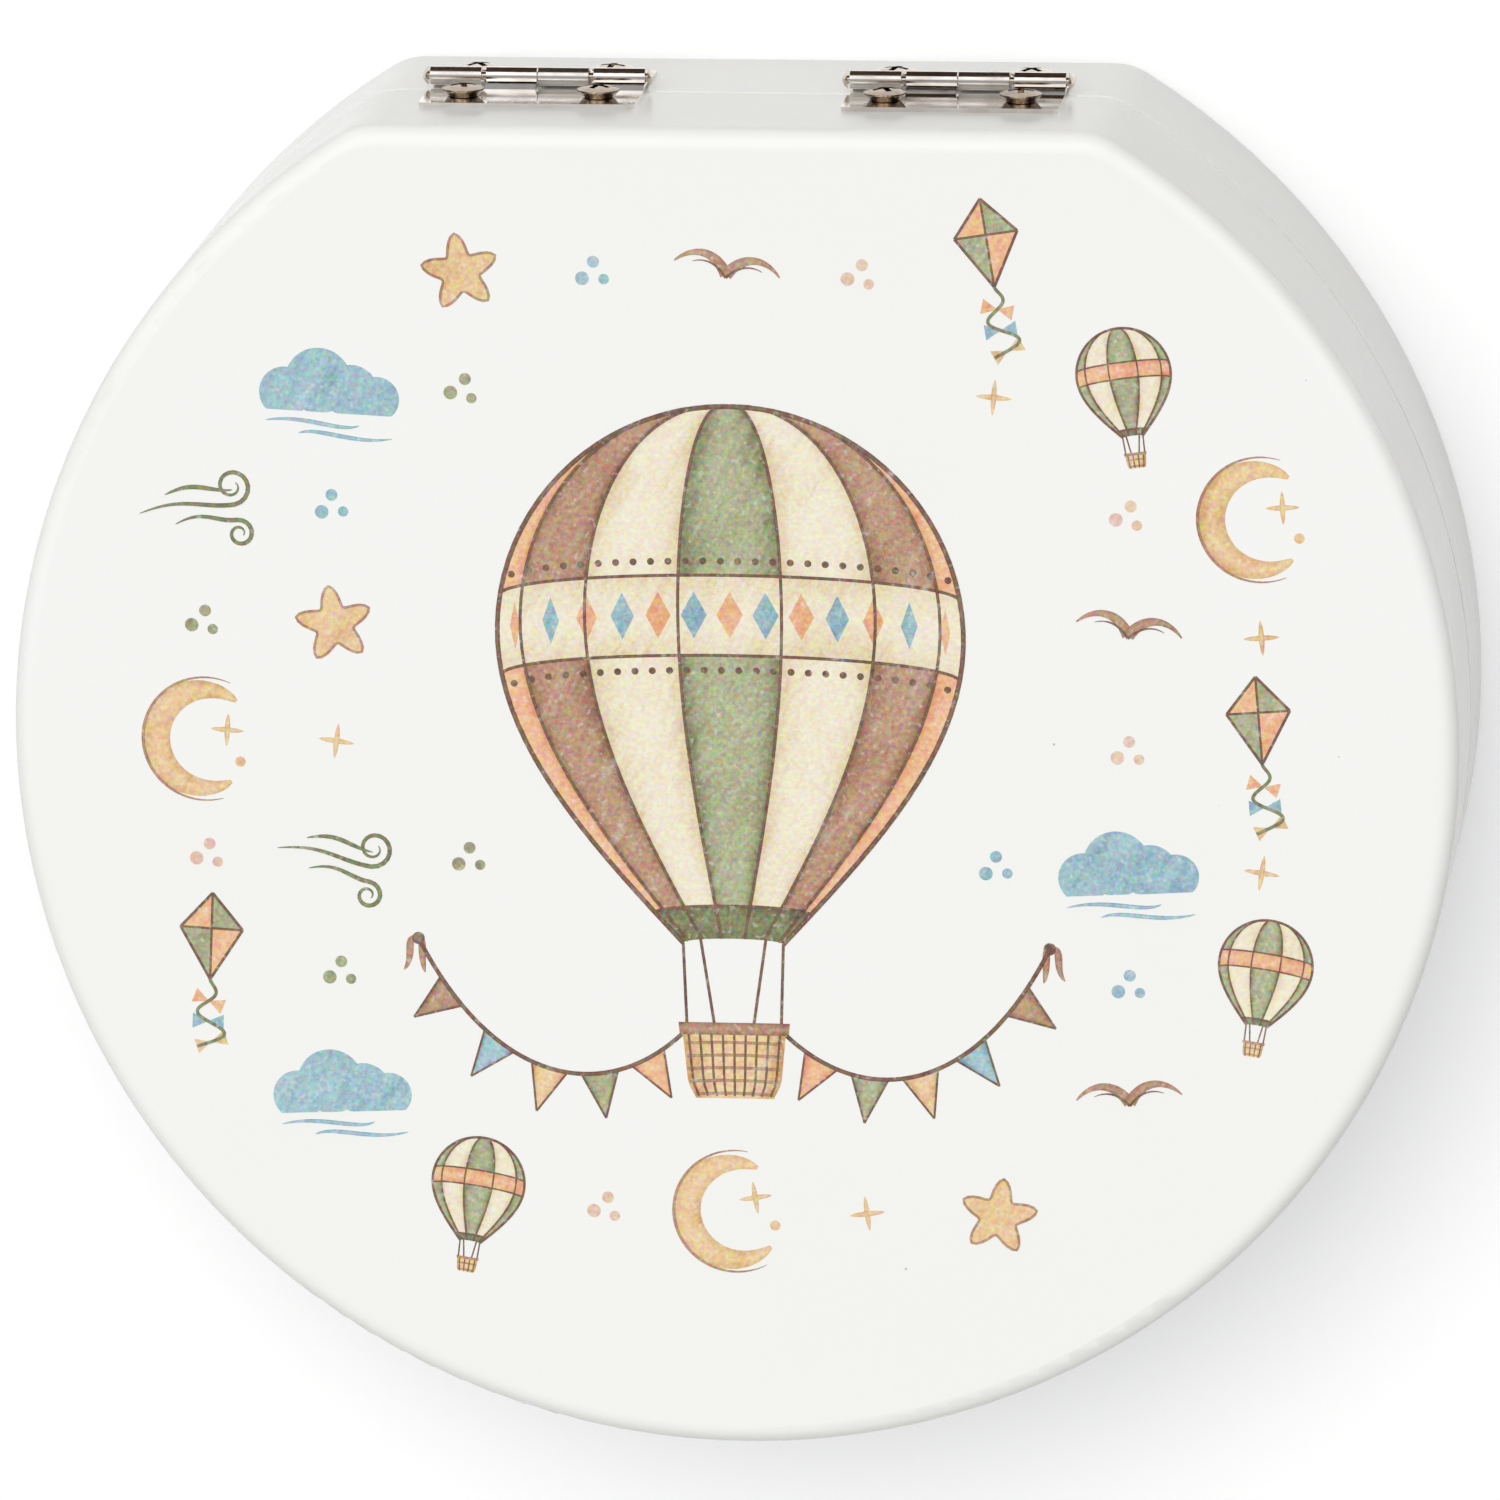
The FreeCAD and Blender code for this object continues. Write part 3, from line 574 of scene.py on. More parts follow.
class Ink(Enum):
    """The inks of the print."""

    SAGE = InkFinish("ink_sage", Paint(178, 181, 144), Paint(121, 125, 84))
    MOSS = InkFinish("ink_moss", Paint(137, 141, 100), Paint(104, 108, 72))
    BROWN = InkFinish("ink_brown", Paint(189, 151, 123), Paint(150, 108, 80))
    PEACH = InkFinish("ink_peach", Paint(238, 190, 150), Paint(221, 142, 92))
    BLUSH = InkFinish("ink_blush", Paint(233, 208, 189), Paint(214, 170, 143))
    BLUE = InkFinish("ink_blue", Paint(166, 199, 207), Paint(103, 148, 168))
    OCHRE = InkFinish("ink_ochre", Paint(236, 205, 158), Paint(205, 160, 98))
    CREAM = InkFinish("ink_cream", Paint(240, 232, 208), Paint(222, 203, 160))
    UMBER = InkFinish("ink_umber", Paint(134, 104, 84), Paint(98, 72, 58))


# Drawing on the lid.


@dataclass(frozen=True)
class Place:
    """Where a motif stands on the lid, in millimetres and degrees."""

    x: float = 0.0
    y: float = 0.0
    turn: float = 0.0
    scale: float = 1.0

    def matrix(self, height: float) -> Matrix:
        """The transform from a motif's own millimetres to the frame.

        Args:
            height: The height to lay it at, in metres.

        Returns:
            The transform.
        """
        size = self.scale * MM
        moved = Matrix.Translation((self.x * MM, self.y * MM, height))
        turned = Matrix.Rotation(math.radians(self.turn), 4, "Z")
        return moved @ turned @ Matrix.Diagonal((size, size, 1.0, 1.0))

    def within(self, x: float, y: float, turn: float = 0.0, scale: float = 1.0) -> Place:
        """A place given in this place's own millimetres.

        Args:
            x: How far it lies along this place's X.
            y: How far it lies along this place's Y.
            turn: How far it is turned further, in degrees.
            scale: How much larger it is.

        Returns:
            The place on the lid.
        """
        angle = math.radians(self.turn)
        across = self.scale * (x * math.cos(angle) - y * math.sin(angle))
        along = self.scale * (x * math.sin(angle) + y * math.cos(angle))
        return Place(self.x + across, self.y + along, self.turn + turn, self.scale * scale)


class Layer(Enum):
    """How high a shape of ink lies, so that later inks cover earlier ones."""

    WASH = 1
    OVER = 2
    DETAIL = 3
    LINE = 4
    TOP = 5


def bezier(start: Point, pull: Point, push: Point, end: Point) -> Path:
    """A cubic curve through two points, bent towards two others.

    Args:
        start: Where it starts.
        pull: What it leaves the start towards.
        push: What it reaches the end from.
        end: Where it ends.

    Returns:
        The point at each share of the way.
    """

    def along(share: float) -> Point:
        """The curve's point.

        Args:
            share: The share of the way.

        Returns:
            The point.
        """
        rest = 1 - share
        weights = (rest**3, 3 * rest**2 * share, 3 * rest * share**2, share**3)
        knots = (start, pull, push, end)
        x = sum(weight * knot[0] for weight, knot in zip(weights, knots))
        y = sum(weight * knot[1] for weight, knot in zip(weights, knots))
        return x, y

    return along


def straight(start: Point, end: Point) -> Path:
    """A straight line between two points."""
    run, rise = end[0] - start[0], end[1] - start[1]
    return lambda share: (start[0] + share * run, start[1] + share * rise)


def round_arc(centre: Point, radius: float, degrees: Span = FULL_CIRCLE) -> Path:
    """An arc.

    Args:
        centre: Its middle.
        radius: How far it lies from the middle.
        degrees: The angles that it starts and ends at.

    Returns:
        The point at each share of the way.
    """
    start, end = degrees

    def along(share: float) -> Point:
        """The arc's point at a share of the way."""
        angle = math.radians(start + share * (end - start))
        return centre[0] + radius * math.cos(angle), centre[1] + radius * math.sin(angle)

    return along


def polygon(corners: Sequence[Point]) -> Path:
    """A straight-sided outline whose corners are met at even shares of the way round."""
    return lambda share: corners[round(share * len(corners)) % len(corners)]


class Taper(Enum):
    """How a stroke's width runs from its start to its end: its least share and its power."""

    EVEN = (1.0, 1.0)
    BOTH = (0.12, 0.7)
    TAIL = (0.1, 0.8)

    def width(self, share: float) -> float:
        """The share of the full width.

        Args:
            share: The share of the way along.

        Returns:
            The width's share.
        """
        least, power = self.value
        swell = 1 - share if self is Taper.TAIL else math.sin(HALF_TURN * share)
        return least + (1 - least) * swell**power


class Canvas:
    """The lid's printed face: for each ink, one thin film that holds every shape in that ink.

    Each rim of a filled shape has its width in millimetres and the depth of colour at its inner side.
    """

    SHADE = "shade"
    LAYER_STEP = 0.012 * MM
    SHAPE_LIFT = 0.0005 * MM
    LIFTS = 20
    SUNK = 0.01 * MM
    RIMS = ((0.22, 0.55), (0.5, 0.2))
    PLAIN_DEPTH = 0.35
    STROKE_DEPTH = 0.6
    SIDE_DEPTH = 0.9
    SIDE_POWER = 2.5
    STROKE_FACES = 40
    DOT_POINTS = 18
    NUDGE = 1e-3
    MERGE = 1e-7

    def __init__(self, face: float) -> None:
        """Starts an empty film for each ink.

        Args:
            face: The height of the lacquer under the print, in metres.
        """
        self.face = face
        self.shapes = 0
        self.films: dict[Ink, bmesh.types.BMesh] = {}
        for ink in Ink:
            self.films[ink] = bmesh.new()
            self.films[ink].verts.layers.float.new(self.SHADE)

    def patch(
        self, ink: Ink, layer: Layer, place: Place, outline: Path, points: int, rims: bool = True
    ) -> None:
        """Fills a closed outline, deeper towards its edge.

        Args:
            ink: The ink to use.
            layer: How high it lies.
            place: Where the motif stands.
            outline: The point at each share of the way round, counter-clockwise, in millimetres.
            points: How many points the outline is given.
            rims: Whether its edge is deeper than its middle.
        """
        film = self.films[ink]
        shade = film.verts.layers.float[self.SHADE]
        ring = bmesh.ops.create_circle(film, cap_ends=True, segments=points, radius=1.0)["verts"]
        for vert in ring:
            share = (math.atan2(vert.co.y, vert.co.x) / FULL_TURN) % 1.0
            vert.co = (*outline(share), 0.0)
            vert[shade] = 1.0 if rims else self.PLAIN_DEPTH
        bmesh.ops.transform(film, matrix=place.matrix(self.height(layer)), verts=ring)
        if not rims:
            return
        face = ring[0].link_faces[0]
        for width, depth in self.RIMS:
            inset = width * place.scale * MM
            bmesh.ops.inset_region(film, faces=[face], thickness=inset, use_even_offset=True)
            for vert in face.verts:
                vert[shade] = depth

    def web(
        self,
        ink: Ink,
        layer: Layer,
        place: Place,
        surface: Web,
        across: int,
        along: int,
        depth: float = SIDE_DEPTH,
    ) -> None:
        """Fills a four-sided field, deeper towards its two long sides.

        Args:
            ink: The ink to use.
            layer: How high it lies.
            place: Where the motif stands.
            surface: The point at each share of the way across and along, in millimetres.
            across: How many faces it has across.
            along: How many faces it has along.
            depth: How deep its sides are.
        """
        film = self.films[ink]
        shade = film.verts.layers.float[self.SHADE]
        grid = bmesh.ops.create_grid(film, x_segments=across, y_segments=along, size=0.5)["verts"]
        for vert in grid:
            u, v = vert.co.x + 0.5, vert.co.y + 0.5
            vert[shade] = depth * abs(2 * u - 1) ** self.SIDE_POWER
            vert.co = (*surface(u, v), 0.0)
        bmesh.ops.transform(film, matrix=place.matrix(self.height(layer)), verts=grid)
        bmesh.ops.remove_doubles(film, verts=grid, dist=self.MERGE)

    def stroke(
        self,
        ink: Ink,
        layer: Layer,
        place: Place,
        path: Path,
        width: float,
        taper: Taper = Taper.EVEN,
        along: int = STROKE_FACES,
    ) -> None:
        """Draws a line.

        Args:
            ink: The ink to use.
            layer: How high it lies.
            place: Where the motif stands.
            path: The point at each share of the way, in millimetres.
            width: The line's full width, in millimetres.
            taper: How the width runs.
            along: How many faces it has along.
        """

        def ribbon(across: float, share: float) -> Point:
            """The line's point.

            Args:
                across: The share of the way across.
                share: The share of the way along.

            Returns:
                The point.
            """
            x, y = path(share)
            before = Vector(path(max(share - self.NUDGE, 0.0)))
            after = Vector(path(min(share + self.NUDGE, 1.0)))
            heading = (after - before).normalized()
            aside = (0.5 - across) * width * taper.width(share)
            return x - heading.y * aside, y + heading.x * aside

        self.web(ink, layer, place, ribbon, across=2, along=along, depth=self.STROKE_DEPTH)

    def dot(self, ink: Ink, layer: Layer, place: Place, radius: float) -> None:
        """Fills a small circle."""
        circle = round_arc((0.0, 0.0), radius)
        self.patch(ink, layer, place, circle, self.DOT_POINTS, rims=False)

    def height(self, layer: Layer) -> float:
        """The height of the next shape, a hair over the last one's, so that none coincide.

        Args:
            layer: The shape's layer.

        Returns:
            The height, in metres.
        """
        self.shapes += 1
        lift = (self.shapes % self.LIFTS) * self.SHAPE_LIFT
        return self.face + layer.value * self.LAYER_STEP + lift

    def make_pieces(self, body: str) -> None:
        """Gives each film its thickness and makes it a piece.

        Args:
            body: The body that the films ride on.
        """
        for ink, film in self.films.items():
            for vert in extruded(film):
                vert.co.z = self.face - self.SUNK
            bmesh.ops.recalc_face_normals(film, faces=film.faces[:])
            piece = as_object(film, f"print_{ink.name.lower()}", ink.value.material())
            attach(piece, body)


def extruded(mesh: bmesh.types.BMesh) -> list[bmesh.types.BMVert]:
    """Extrudes all of a sheet's faces, and gives the new points."""
    made = bmesh.ops.extrude_face_region(mesh, geom=mesh.faces[:])["geom"]
    return [part for part in made if isinstance(part, bmesh.types.BMVert)]


def as_object(
    mesh: bmesh.types.BMesh, name: str, material: bpy.types.Material, smooth: bool = False
) -> bpy.types.Object:
    """Makes an object of a bmesh, and frees the bmesh.

    Args:
        mesh: The shape, in the frame's metres.
        name: The object's name.
        material: Its finish.
        smooth: Whether its faces are shaded smooth.

    Returns:
        The object, linked to the scene.
    """
    data = bpy.data.meshes.new(name)
    mesh.to_mesh(data)
    mesh.free()
    for face in data.polygons:
        face.use_smooth = smooth
    data.materials.append(material)
    made = bpy.data.objects.new(name, data)
    bpy.context.scene.collection.objects.link(made)
    log.info("%s: %d faces", name, len(data.polygons))
    return made


# The motifs of the print, in millimetres.


@dataclass(frozen=True)
class Balloon:
    """A hot-air balloon: an envelope of gores with a patterned belt, ropes and a woven basket.

    A way is a share of the way up the envelope's side, or down the basket. Each rope has the place of
    its upper end on the throat and of its lower end on the basket, both from -1 to 1.
    """

    gores: tuple[Ink, ...]
    belt: Ink = Ink.CREAM
    radius: float = 18.5
    drop: float = 25.0
    throat: float = 4.0
    bulge: float = 0.1
    line: float = 0.3
    side_line_share: float = 1.25
    thin_line_share: float = 0.8
    stake_line_share: float = 0.6
    belt_ways: Span = (0.4, 0.52)
    belt_depth: float = 0.6
    skirt_way: float = 0.045
    skirt_depth: float = 0.7
    diamonds: int = 13
    diamond_half_width: float = 1.05
    diamond_half_height: float = 1.9
    least_squeeze: float = 0.25
    stud_gap_way: float = 0.022
    stud_radius: float = 0.28
    rope: float = 6.5
    rope_ends: tuple[Span, ...] = ((-0.98, -0.9), (-0.45, -0.38), (0.45, 0.38), (0.98, 0.9))
    basket_width: float = 8.4
    basket_height: float = 6.2
    basket_taper: float = 0.14
    foot_way: float = 0.8
    foot_taper: float = 0.12
    rim_way: float = 0.16
    rim_overhang: float = 0.03
    rows: int = 5
    row_shift: float = 0.7
    row_inset: float = 0.02
    row_rise: float = 0.02
    stakes: int = 9
    stake_foot_way: float = 0.97

    def half_width(self, way: float) -> Point:
        """How wide the envelope is.

        Args:
            way: The share of the way up its side, from the throat to the crown.

        Returns:
            The half width and the height above the widest line.
        """
        travelled = way * (self.drop + self.radius * QUARTER_TURN)
        if travelled < self.drop:
            fall = 1 - travelled / self.drop
            flare = (self.radius - self.throat) * math.cos(QUARTER_TURN * fall)
            return self.throat + flare, -fall * self.drop
        angle = (travelled - self.drop) / self.radius
        return self.radius * math.cos(angle), self.radius * math.sin(angle)

    def skin(self, share: float, way: float) -> Point:
        """A point of the envelope.

        Args:
            share: How far it lies across, from -1 at the left side to 1 at the right.
            way: The share of the way up.

        Returns:
            The point.
        """
        half, y = self.half_width(way)
        angle = share * QUARTER_TURN
        return half * math.sin(angle), y + self.bulge * half * math.cos(angle)

    def gore(self, left: float, right: float) -> Web:
        """The envelope's field between two meridians."""
        return lambda u, v: self.skin(left + u * (right - left), v)

    def meridian(self, share: float) -> Path:
        """A line from the throat to the crown."""
        return lambda way: self.skin(share, way)

    def ring(self, low: float, high: float) -> Web:
        """A band right across the envelope between two heights."""
        return lambda u, v: self.skin(2 * v - 1, high + u * (low - high))

    def hoop(self, way: float) -> Path:
        """A line right across the envelope at a height."""
        return lambda share: self.skin(2 * share - 1, way)

    def wall(self, across: float, down: float) -> Point:
        """A point of the basket.

        Args:
            across: The share of the way across, from the left.
            down: The share of the way down, from the rim.

        Returns:
            The point.
        """
        foot = max(down - self.foot_way, 0.0) / (1 - self.foot_way)
        narrow = 1 - self.basket_taper * down - self.foot_taper * foot
        x = (2 * across - 1) * self.basket_width / 2 * narrow
        return x, -self.drop - self.rope - self.basket_height * down

    def front(self, u: float, v: float) -> Point:
        """A point of the basket's front, counted from the right."""
        return self.wall(1 - u, v)

    def rim(self, u: float, v: float) -> Point:
        """A point of the basket's rim, which stands out over the wall on both sides."""
        return self.wall(v * (1 + 2 * self.rim_overhang) - self.rim_overhang, u * self.rim_way)

    def weave(self, level: float) -> Path:
        """A line across the basket, a share of the way down, that rises a little in its middle."""
        return lambda share: self.wall(
            self.row_inset + (1 - 2 * self.row_inset) * share,
            level - self.row_rise * math.sin(share * HALF_TURN),
        )

    def stake(self, across: float) -> Path:
        """A line down the basket at a share of the way across."""
        return lambda share: self.wall(
            across, self.rim_way + share * (self.stake_foot_way - self.rim_way)
        )

    def draw(self, canvas: Canvas, place: Place) -> None:
        """Draws the balloon.

        Args:
            canvas: What to draw on.
            place: Where the middle of its widest line is.
        """
        count = len(self.gores)
        edges = [2 * number / count - 1 for number in range(count + 1)]
        for ink, left, right in zip(self.gores, edges, edges[1:]):
            canvas.web(ink, Layer.WASH, place, self.gore(left, right), across=6, along=40)
        for share in edges:
            width = self.line * (self.side_line_share if abs(share) == 1 else self.thin_line_share)
            canvas.stroke(Ink.UMBER, Layer.TOP, place, self.meridian(share), width)
        self.draw_belt(canvas, place)
        self.draw_basket(canvas, place)

    def draw_belt(self, canvas: Canvas, place: Place) -> None:
        """Draws the belt round the widest part with its pattern, and the skirt at the throat.

        Args:
            canvas: What to draw on.
            place: Where the balloon stands.
        """
        low, high = self.belt_ways
        band, skirt = self.ring(low, high), self.ring(0.0, self.skirt_way)
        canvas.web(self.belt, Layer.OVER, place, band, across=2, along=40, depth=self.belt_depth)
        canvas.web(Ink.MOSS, Layer.OVER, place, skirt, across=2, along=30, depth=self.skirt_depth)
        for way in (self.skirt_way, low, high):
            width = self.line * self.thin_line_share
            canvas.stroke(Ink.UMBER, Layer.LINE, place, self.hoop(way), width)
        for number in range(self.diamonds):
            share = math.asin((2 * number + 1) / self.diamonds - 1) / QUARTER_TURN
            spot = place.within(*self.skin(share, (low + high) / 2))
            squeeze = max(math.cos(share * QUARTER_TURN), self.least_squeeze)
            x, y = self.diamond_half_width * squeeze, self.diamond_half_height
            corners = ((x, 0.0), (0.0, y), (-x, 0.0), (0.0, -y))
            ink = Ink.BLUE if number % 2 else Ink.PEACH
            canvas.patch(ink, Layer.DETAIL, spot, polygon(corners), len(corners), rims=False)
        for way in (low - self.stud_gap_way, high + self.stud_gap_way):
            for number in range(2 * self.diamonds):
                share = math.asin((number + 0.5) / self.diamonds - 1) / QUARTER_TURN
                spot = place.within(*self.skin(share, way))
                canvas.dot(Ink.UMBER, Layer.DETAIL, spot, self.stud_radius)

    def draw_basket(self, canvas: Canvas, place: Place) -> None:
        """Draws the ropes and the woven basket.

        Args:
            canvas: What to draw on.
            place: Where the balloon stands.
        """
        top = -self.drop - self.rope
        thin = self.line * self.thin_line_share
        for start, end in self.rope_ends:
            rope = straight(self.skin(start, 0.0), (end * self.basket_width / 2, top))
            canvas.stroke(Ink.UMBER, Layer.WASH, place, rope, thin, along=4)
        canvas.web(Ink.OCHRE, Layer.OVER, place, self.front, across=8, along=12)
        canvas.web(Ink.BROWN, Layer.DETAIL, place, self.rim, across=2, along=8)
        for row in range(self.rows):
            level = self.rim_way + (row + self.row_shift) * (1 - self.rim_way) / self.rows
            canvas.stroke(Ink.BROWN, Layer.LINE, place, self.weave(level), thin, along=10)
        for number in range(self.stakes):
            stake = self.stake((number + 0.5) / self.stakes)
            width = self.line * self.stake_line_share
            canvas.stroke(Ink.UMBER, Layer.TOP, place, stake, width, along=6)


@dataclass(frozen=True)
class Bunting:
    """A string of pennants that sags between its two ends, with a tied ribbon at its outer end."""

    span: float = 21.0
    rise: float = 7.5
    sag: float = 6.0
    pull_share: float = 0.3
    push_share: float = 0.72
    push_sag_share: float = 0.75
    cord_line: float = 0.34
    pennants: int = 5
    lead: float = 0.75
    half_width: float = 1.45
    length: float = 3.7
    edge_line: float = 0.16
    lean_step: float = 0.01
    ribbons: tuple[Point, ...] = ((1.2, 2.6), (-0.5, 2.8))
    ribbon_lift: float = 0.4
    ribbon_bend: Point = (0.2, 0.6)
    ribbon_width: float = 0.6
    knot_radius: float = 0.5
    inks: tuple[Ink, ...] = (Ink.PEACH, Ink.SAGE, Ink.OCHRE, Ink.BLUE, Ink.BROWN)

    def draw(self, canvas: Canvas, place: Place, way: int) -> None:
        """Draws the string from a place.

        Args:
            canvas: What to draw on.
            place: Where its inner end is.
            way: 1 to run to the right, -1 to run to the left.
        """
        reach = way * self.span
        pull = (reach * self.pull_share, -self.sag)
        push = (reach * self.push_share, -self.sag * self.push_sag_share)
        cord = bezier((0.0, 0.0), pull, push, (reach, self.rise))
        canvas.stroke(Ink.UMBER, Layer.LINE, place, cord, self.cord_line)
        for number in range(self.pennants):
            share = (number + self.lead) / (self.pennants - 1 + 2 * self.lead)
            self.draw_pennant(canvas, place, cord, share, self.inks[number % len(self.inks)])
        self.draw_knot(canvas, place.within(reach, self.rise), way)

    def draw_knot(self, canvas: Canvas, place: Place, way: int) -> None:
        """Ties the ribbon at the outer end.

        Args:
            canvas: What to draw on.
            place: Where the outer end is.
            way: The way that the string runs, as draw takes it.
        """
        for reach, drop in self.ribbons:
            aside = way * reach
            bend = (aside * self.ribbon_bend[0], -drop * self.ribbon_bend[1])
            ribbon = bezier((0.0, 0.0), (aside, self.ribbon_lift), bend, (aside, -drop))
            width = self.ribbon_width
            canvas.stroke(Ink.BROWN, Layer.DETAIL, place, ribbon, width, Taper.BOTH, along=16)
        canvas.dot(Ink.UMBER, Layer.LINE, place, self.knot_radius)

    def draw_pennant(
        self, canvas: Canvas, place: Place, cord: Path, share: float, ink: Ink
    ) -> None:
        """Hangs one pennant square to the string.

        Args:
            canvas: What to draw on.
            place: Where the string's inner end is.
            cord: The string.
            share: The share of the way along the string.
            ink: The pennant's ink.
        """
        heading = Vector(cord(share + self.lean_step)) - Vector(cord(share - self.lean_step))
        lean = math.degrees(math.atan(heading.y / heading.x))
        hang = place.within(*cord(share), turn=lean)
        canvas.web(ink, Layer.WASH, hang, self.cloth, across=6, along=8)
        for side in (0.0, 1.0):
            edge = straight(self.cloth(side, 0.0), self.cloth(side, 1.0))
            canvas.stroke(Ink.UMBER, Layer.DETAIL, hang, edge, self.edge_line, along=6)

    def cloth(self, across: float, down: float) -> Point:
        """A pennant's point at a share of the way across, from the right, and down."""
        return (1 - 2 * across) * self.half_width * (1 - down), -self.length * down


@dataclass(frozen=True)
class Cloud:
    """A low cloud of overlapping puffs on a level foot, with a few lines of wind under it.

    Each puff has the place and radius of its round, as shares of the length, and its layer. Each wind
    has the shares of the length that it starts and ends at.
    """

    length: float = 12.0
    foot_share: float = 0.16
    puffs: tuple[tuple[float, float, float, Layer], ...] = (
        (-0.3, -0.04, 0.17, Layer.WASH),
        (0.31, -0.05, 0.15, Layer.WASH),
        (-0.08, 0.05, 0.22, Layer.OVER),
        (0.14, -0.01, 0.18, Layer.DETAIL),
    )
    winds: tuple[Span, ...] = ((-0.42, 0.2), (-0.2, 0.42))
    wind_gap: float = 0.9
    wind_wave: float = 0.7
    wind_bend: float = 0.4
    wind_width: float = 0.34

    def draw(self, canvas: Canvas, place: Place) -> None:
        """Draws the cloud.

        Args:
            canvas: What to draw on.
            place: Where its middle is.
        """
        for x, y, radius, layer in self.puffs:
            canvas.patch(Ink.BLUE, layer, place, self.puff(x, y, radius), points=40)
        for row, (start_share, end_share) in enumerate(self.winds):
            level = -self.foot_share * self.length - self.wind_gap * (row + 1)
            start, end = start_share * self.length, end_share * self.length
            pull = (start * self.wind_bend, level + self.wind_wave)
            push = (end * self.wind_bend, level - self.wind_wave)
            wind = bezier((start, level), pull, push, (end, level))
            canvas.stroke(Ink.BLUE, Layer.LINE, place, wind, self.wind_width, Taper.BOTH, along=24)

    def puff(self, x: float, y: float, radius: float) -> Path:
        """A round that the level foot cuts off.

        Args:
            x: Its middle's X, as a share of the length.
            y: Its middle's Y, as a share of the length.
            radius: Its radius, as a share of the length.

        Returns:
            Its outline.
        """
        rim = round_arc((x * self.length, y * self.length), radius * self.length)
        foot = -self.foot_share * self.length
        return lambda share: (rim(share)[0], max(rim(share)[1], foot))


@dataclass(frozen=True)
class Star:
    """A round-pointed star with a pencilled edge."""

    radius: float = 3.1
    hollow_share: float = 0.5
    hollow_power: float = 0.75
    points: int = 5
    edge_line: float = 0.2

    def draw(self, canvas: Canvas, place: Place) -> None:
        """Draws the star.

        Args:
            canvas: What to draw on.
            place: Where its middle is.
        """

        def outline(share: float) -> Point:
            """The edge's point.

            Args:
                share: The share of the way round.

            Returns:
                The point.
            """
            angle = share * FULL_TURN
            wave = (1 - math.cos(self.points * (angle - QUARTER_TURN))) / 2
            reach = self.radius * (1 - self.hollow_share * wave**self.hollow_power)
            return reach * math.cos(angle), reach * math.sin(angle)

        canvas.patch(Ink.OCHRE, Layer.WASH, place, outline, points=60)
        canvas.stroke(Ink.BROWN, Layer.LINE, place, outline, self.edge_line, along=60)


@dataclass(frozen=True)
class Sparkle:
    """Four thin rays."""

    reach: float = 1.4
    width: float = 0.42

    def draw(self, canvas: Canvas, place: Place) -> None:
        """Draws the rays.

        Args:
            canvas: What to draw on.
            place: Where they meet.
        """
        for x, y in ((self.reach, 0.0), (0.0, self.reach)):
            ray = straight((-x, -y), (x, y))
            canvas.stroke(Ink.OCHRE, Layer.LINE, place, ray, self.width, Taper.BOTH, along=10)


@dataclass(frozen=True)
class Moon:
    """A crescent moon and the small stars in its lap."""

    radius: float = 4.0
    width: float = 2.3
    arc: Span = (55.0, 305.0)
    rim_arc: Span = (70.0, 290.0)
    rim_share: float = 0.44
    rim_line: float = 0.24
    sparkle: Sparkle = Sparkle(1.3)
    sparkle_at: Point = (1.7, 0.9)
    dot_at: Point = (2.9, -1.6)
    dot_radius: float = 0.42

    def draw(self, canvas: Canvas, place: Place) -> None:
        """Draws the moon.

        Args:
            canvas: What to draw on.
            place: Where the middle of its round is.
        """
        crescent = round_arc((0.0, 0.0), self.radius, self.arc)
        canvas.stroke(Ink.OCHRE, Layer.WASH, place, crescent, self.width, Taper.BOTH)
        rim = round_arc((0.0, 0.0), self.radius + self.width * self.rim_share, self.rim_arc)
        canvas.stroke(Ink.BROWN, Layer.LINE, place, rim, self.rim_line, Taper.BOTH)
        self.sparkle.draw(canvas, place.within(*self.sparkle_at))
        canvas.dot(Ink.OCHRE, Layer.WASH, place.within(*self.dot_at), self.dot_radius)


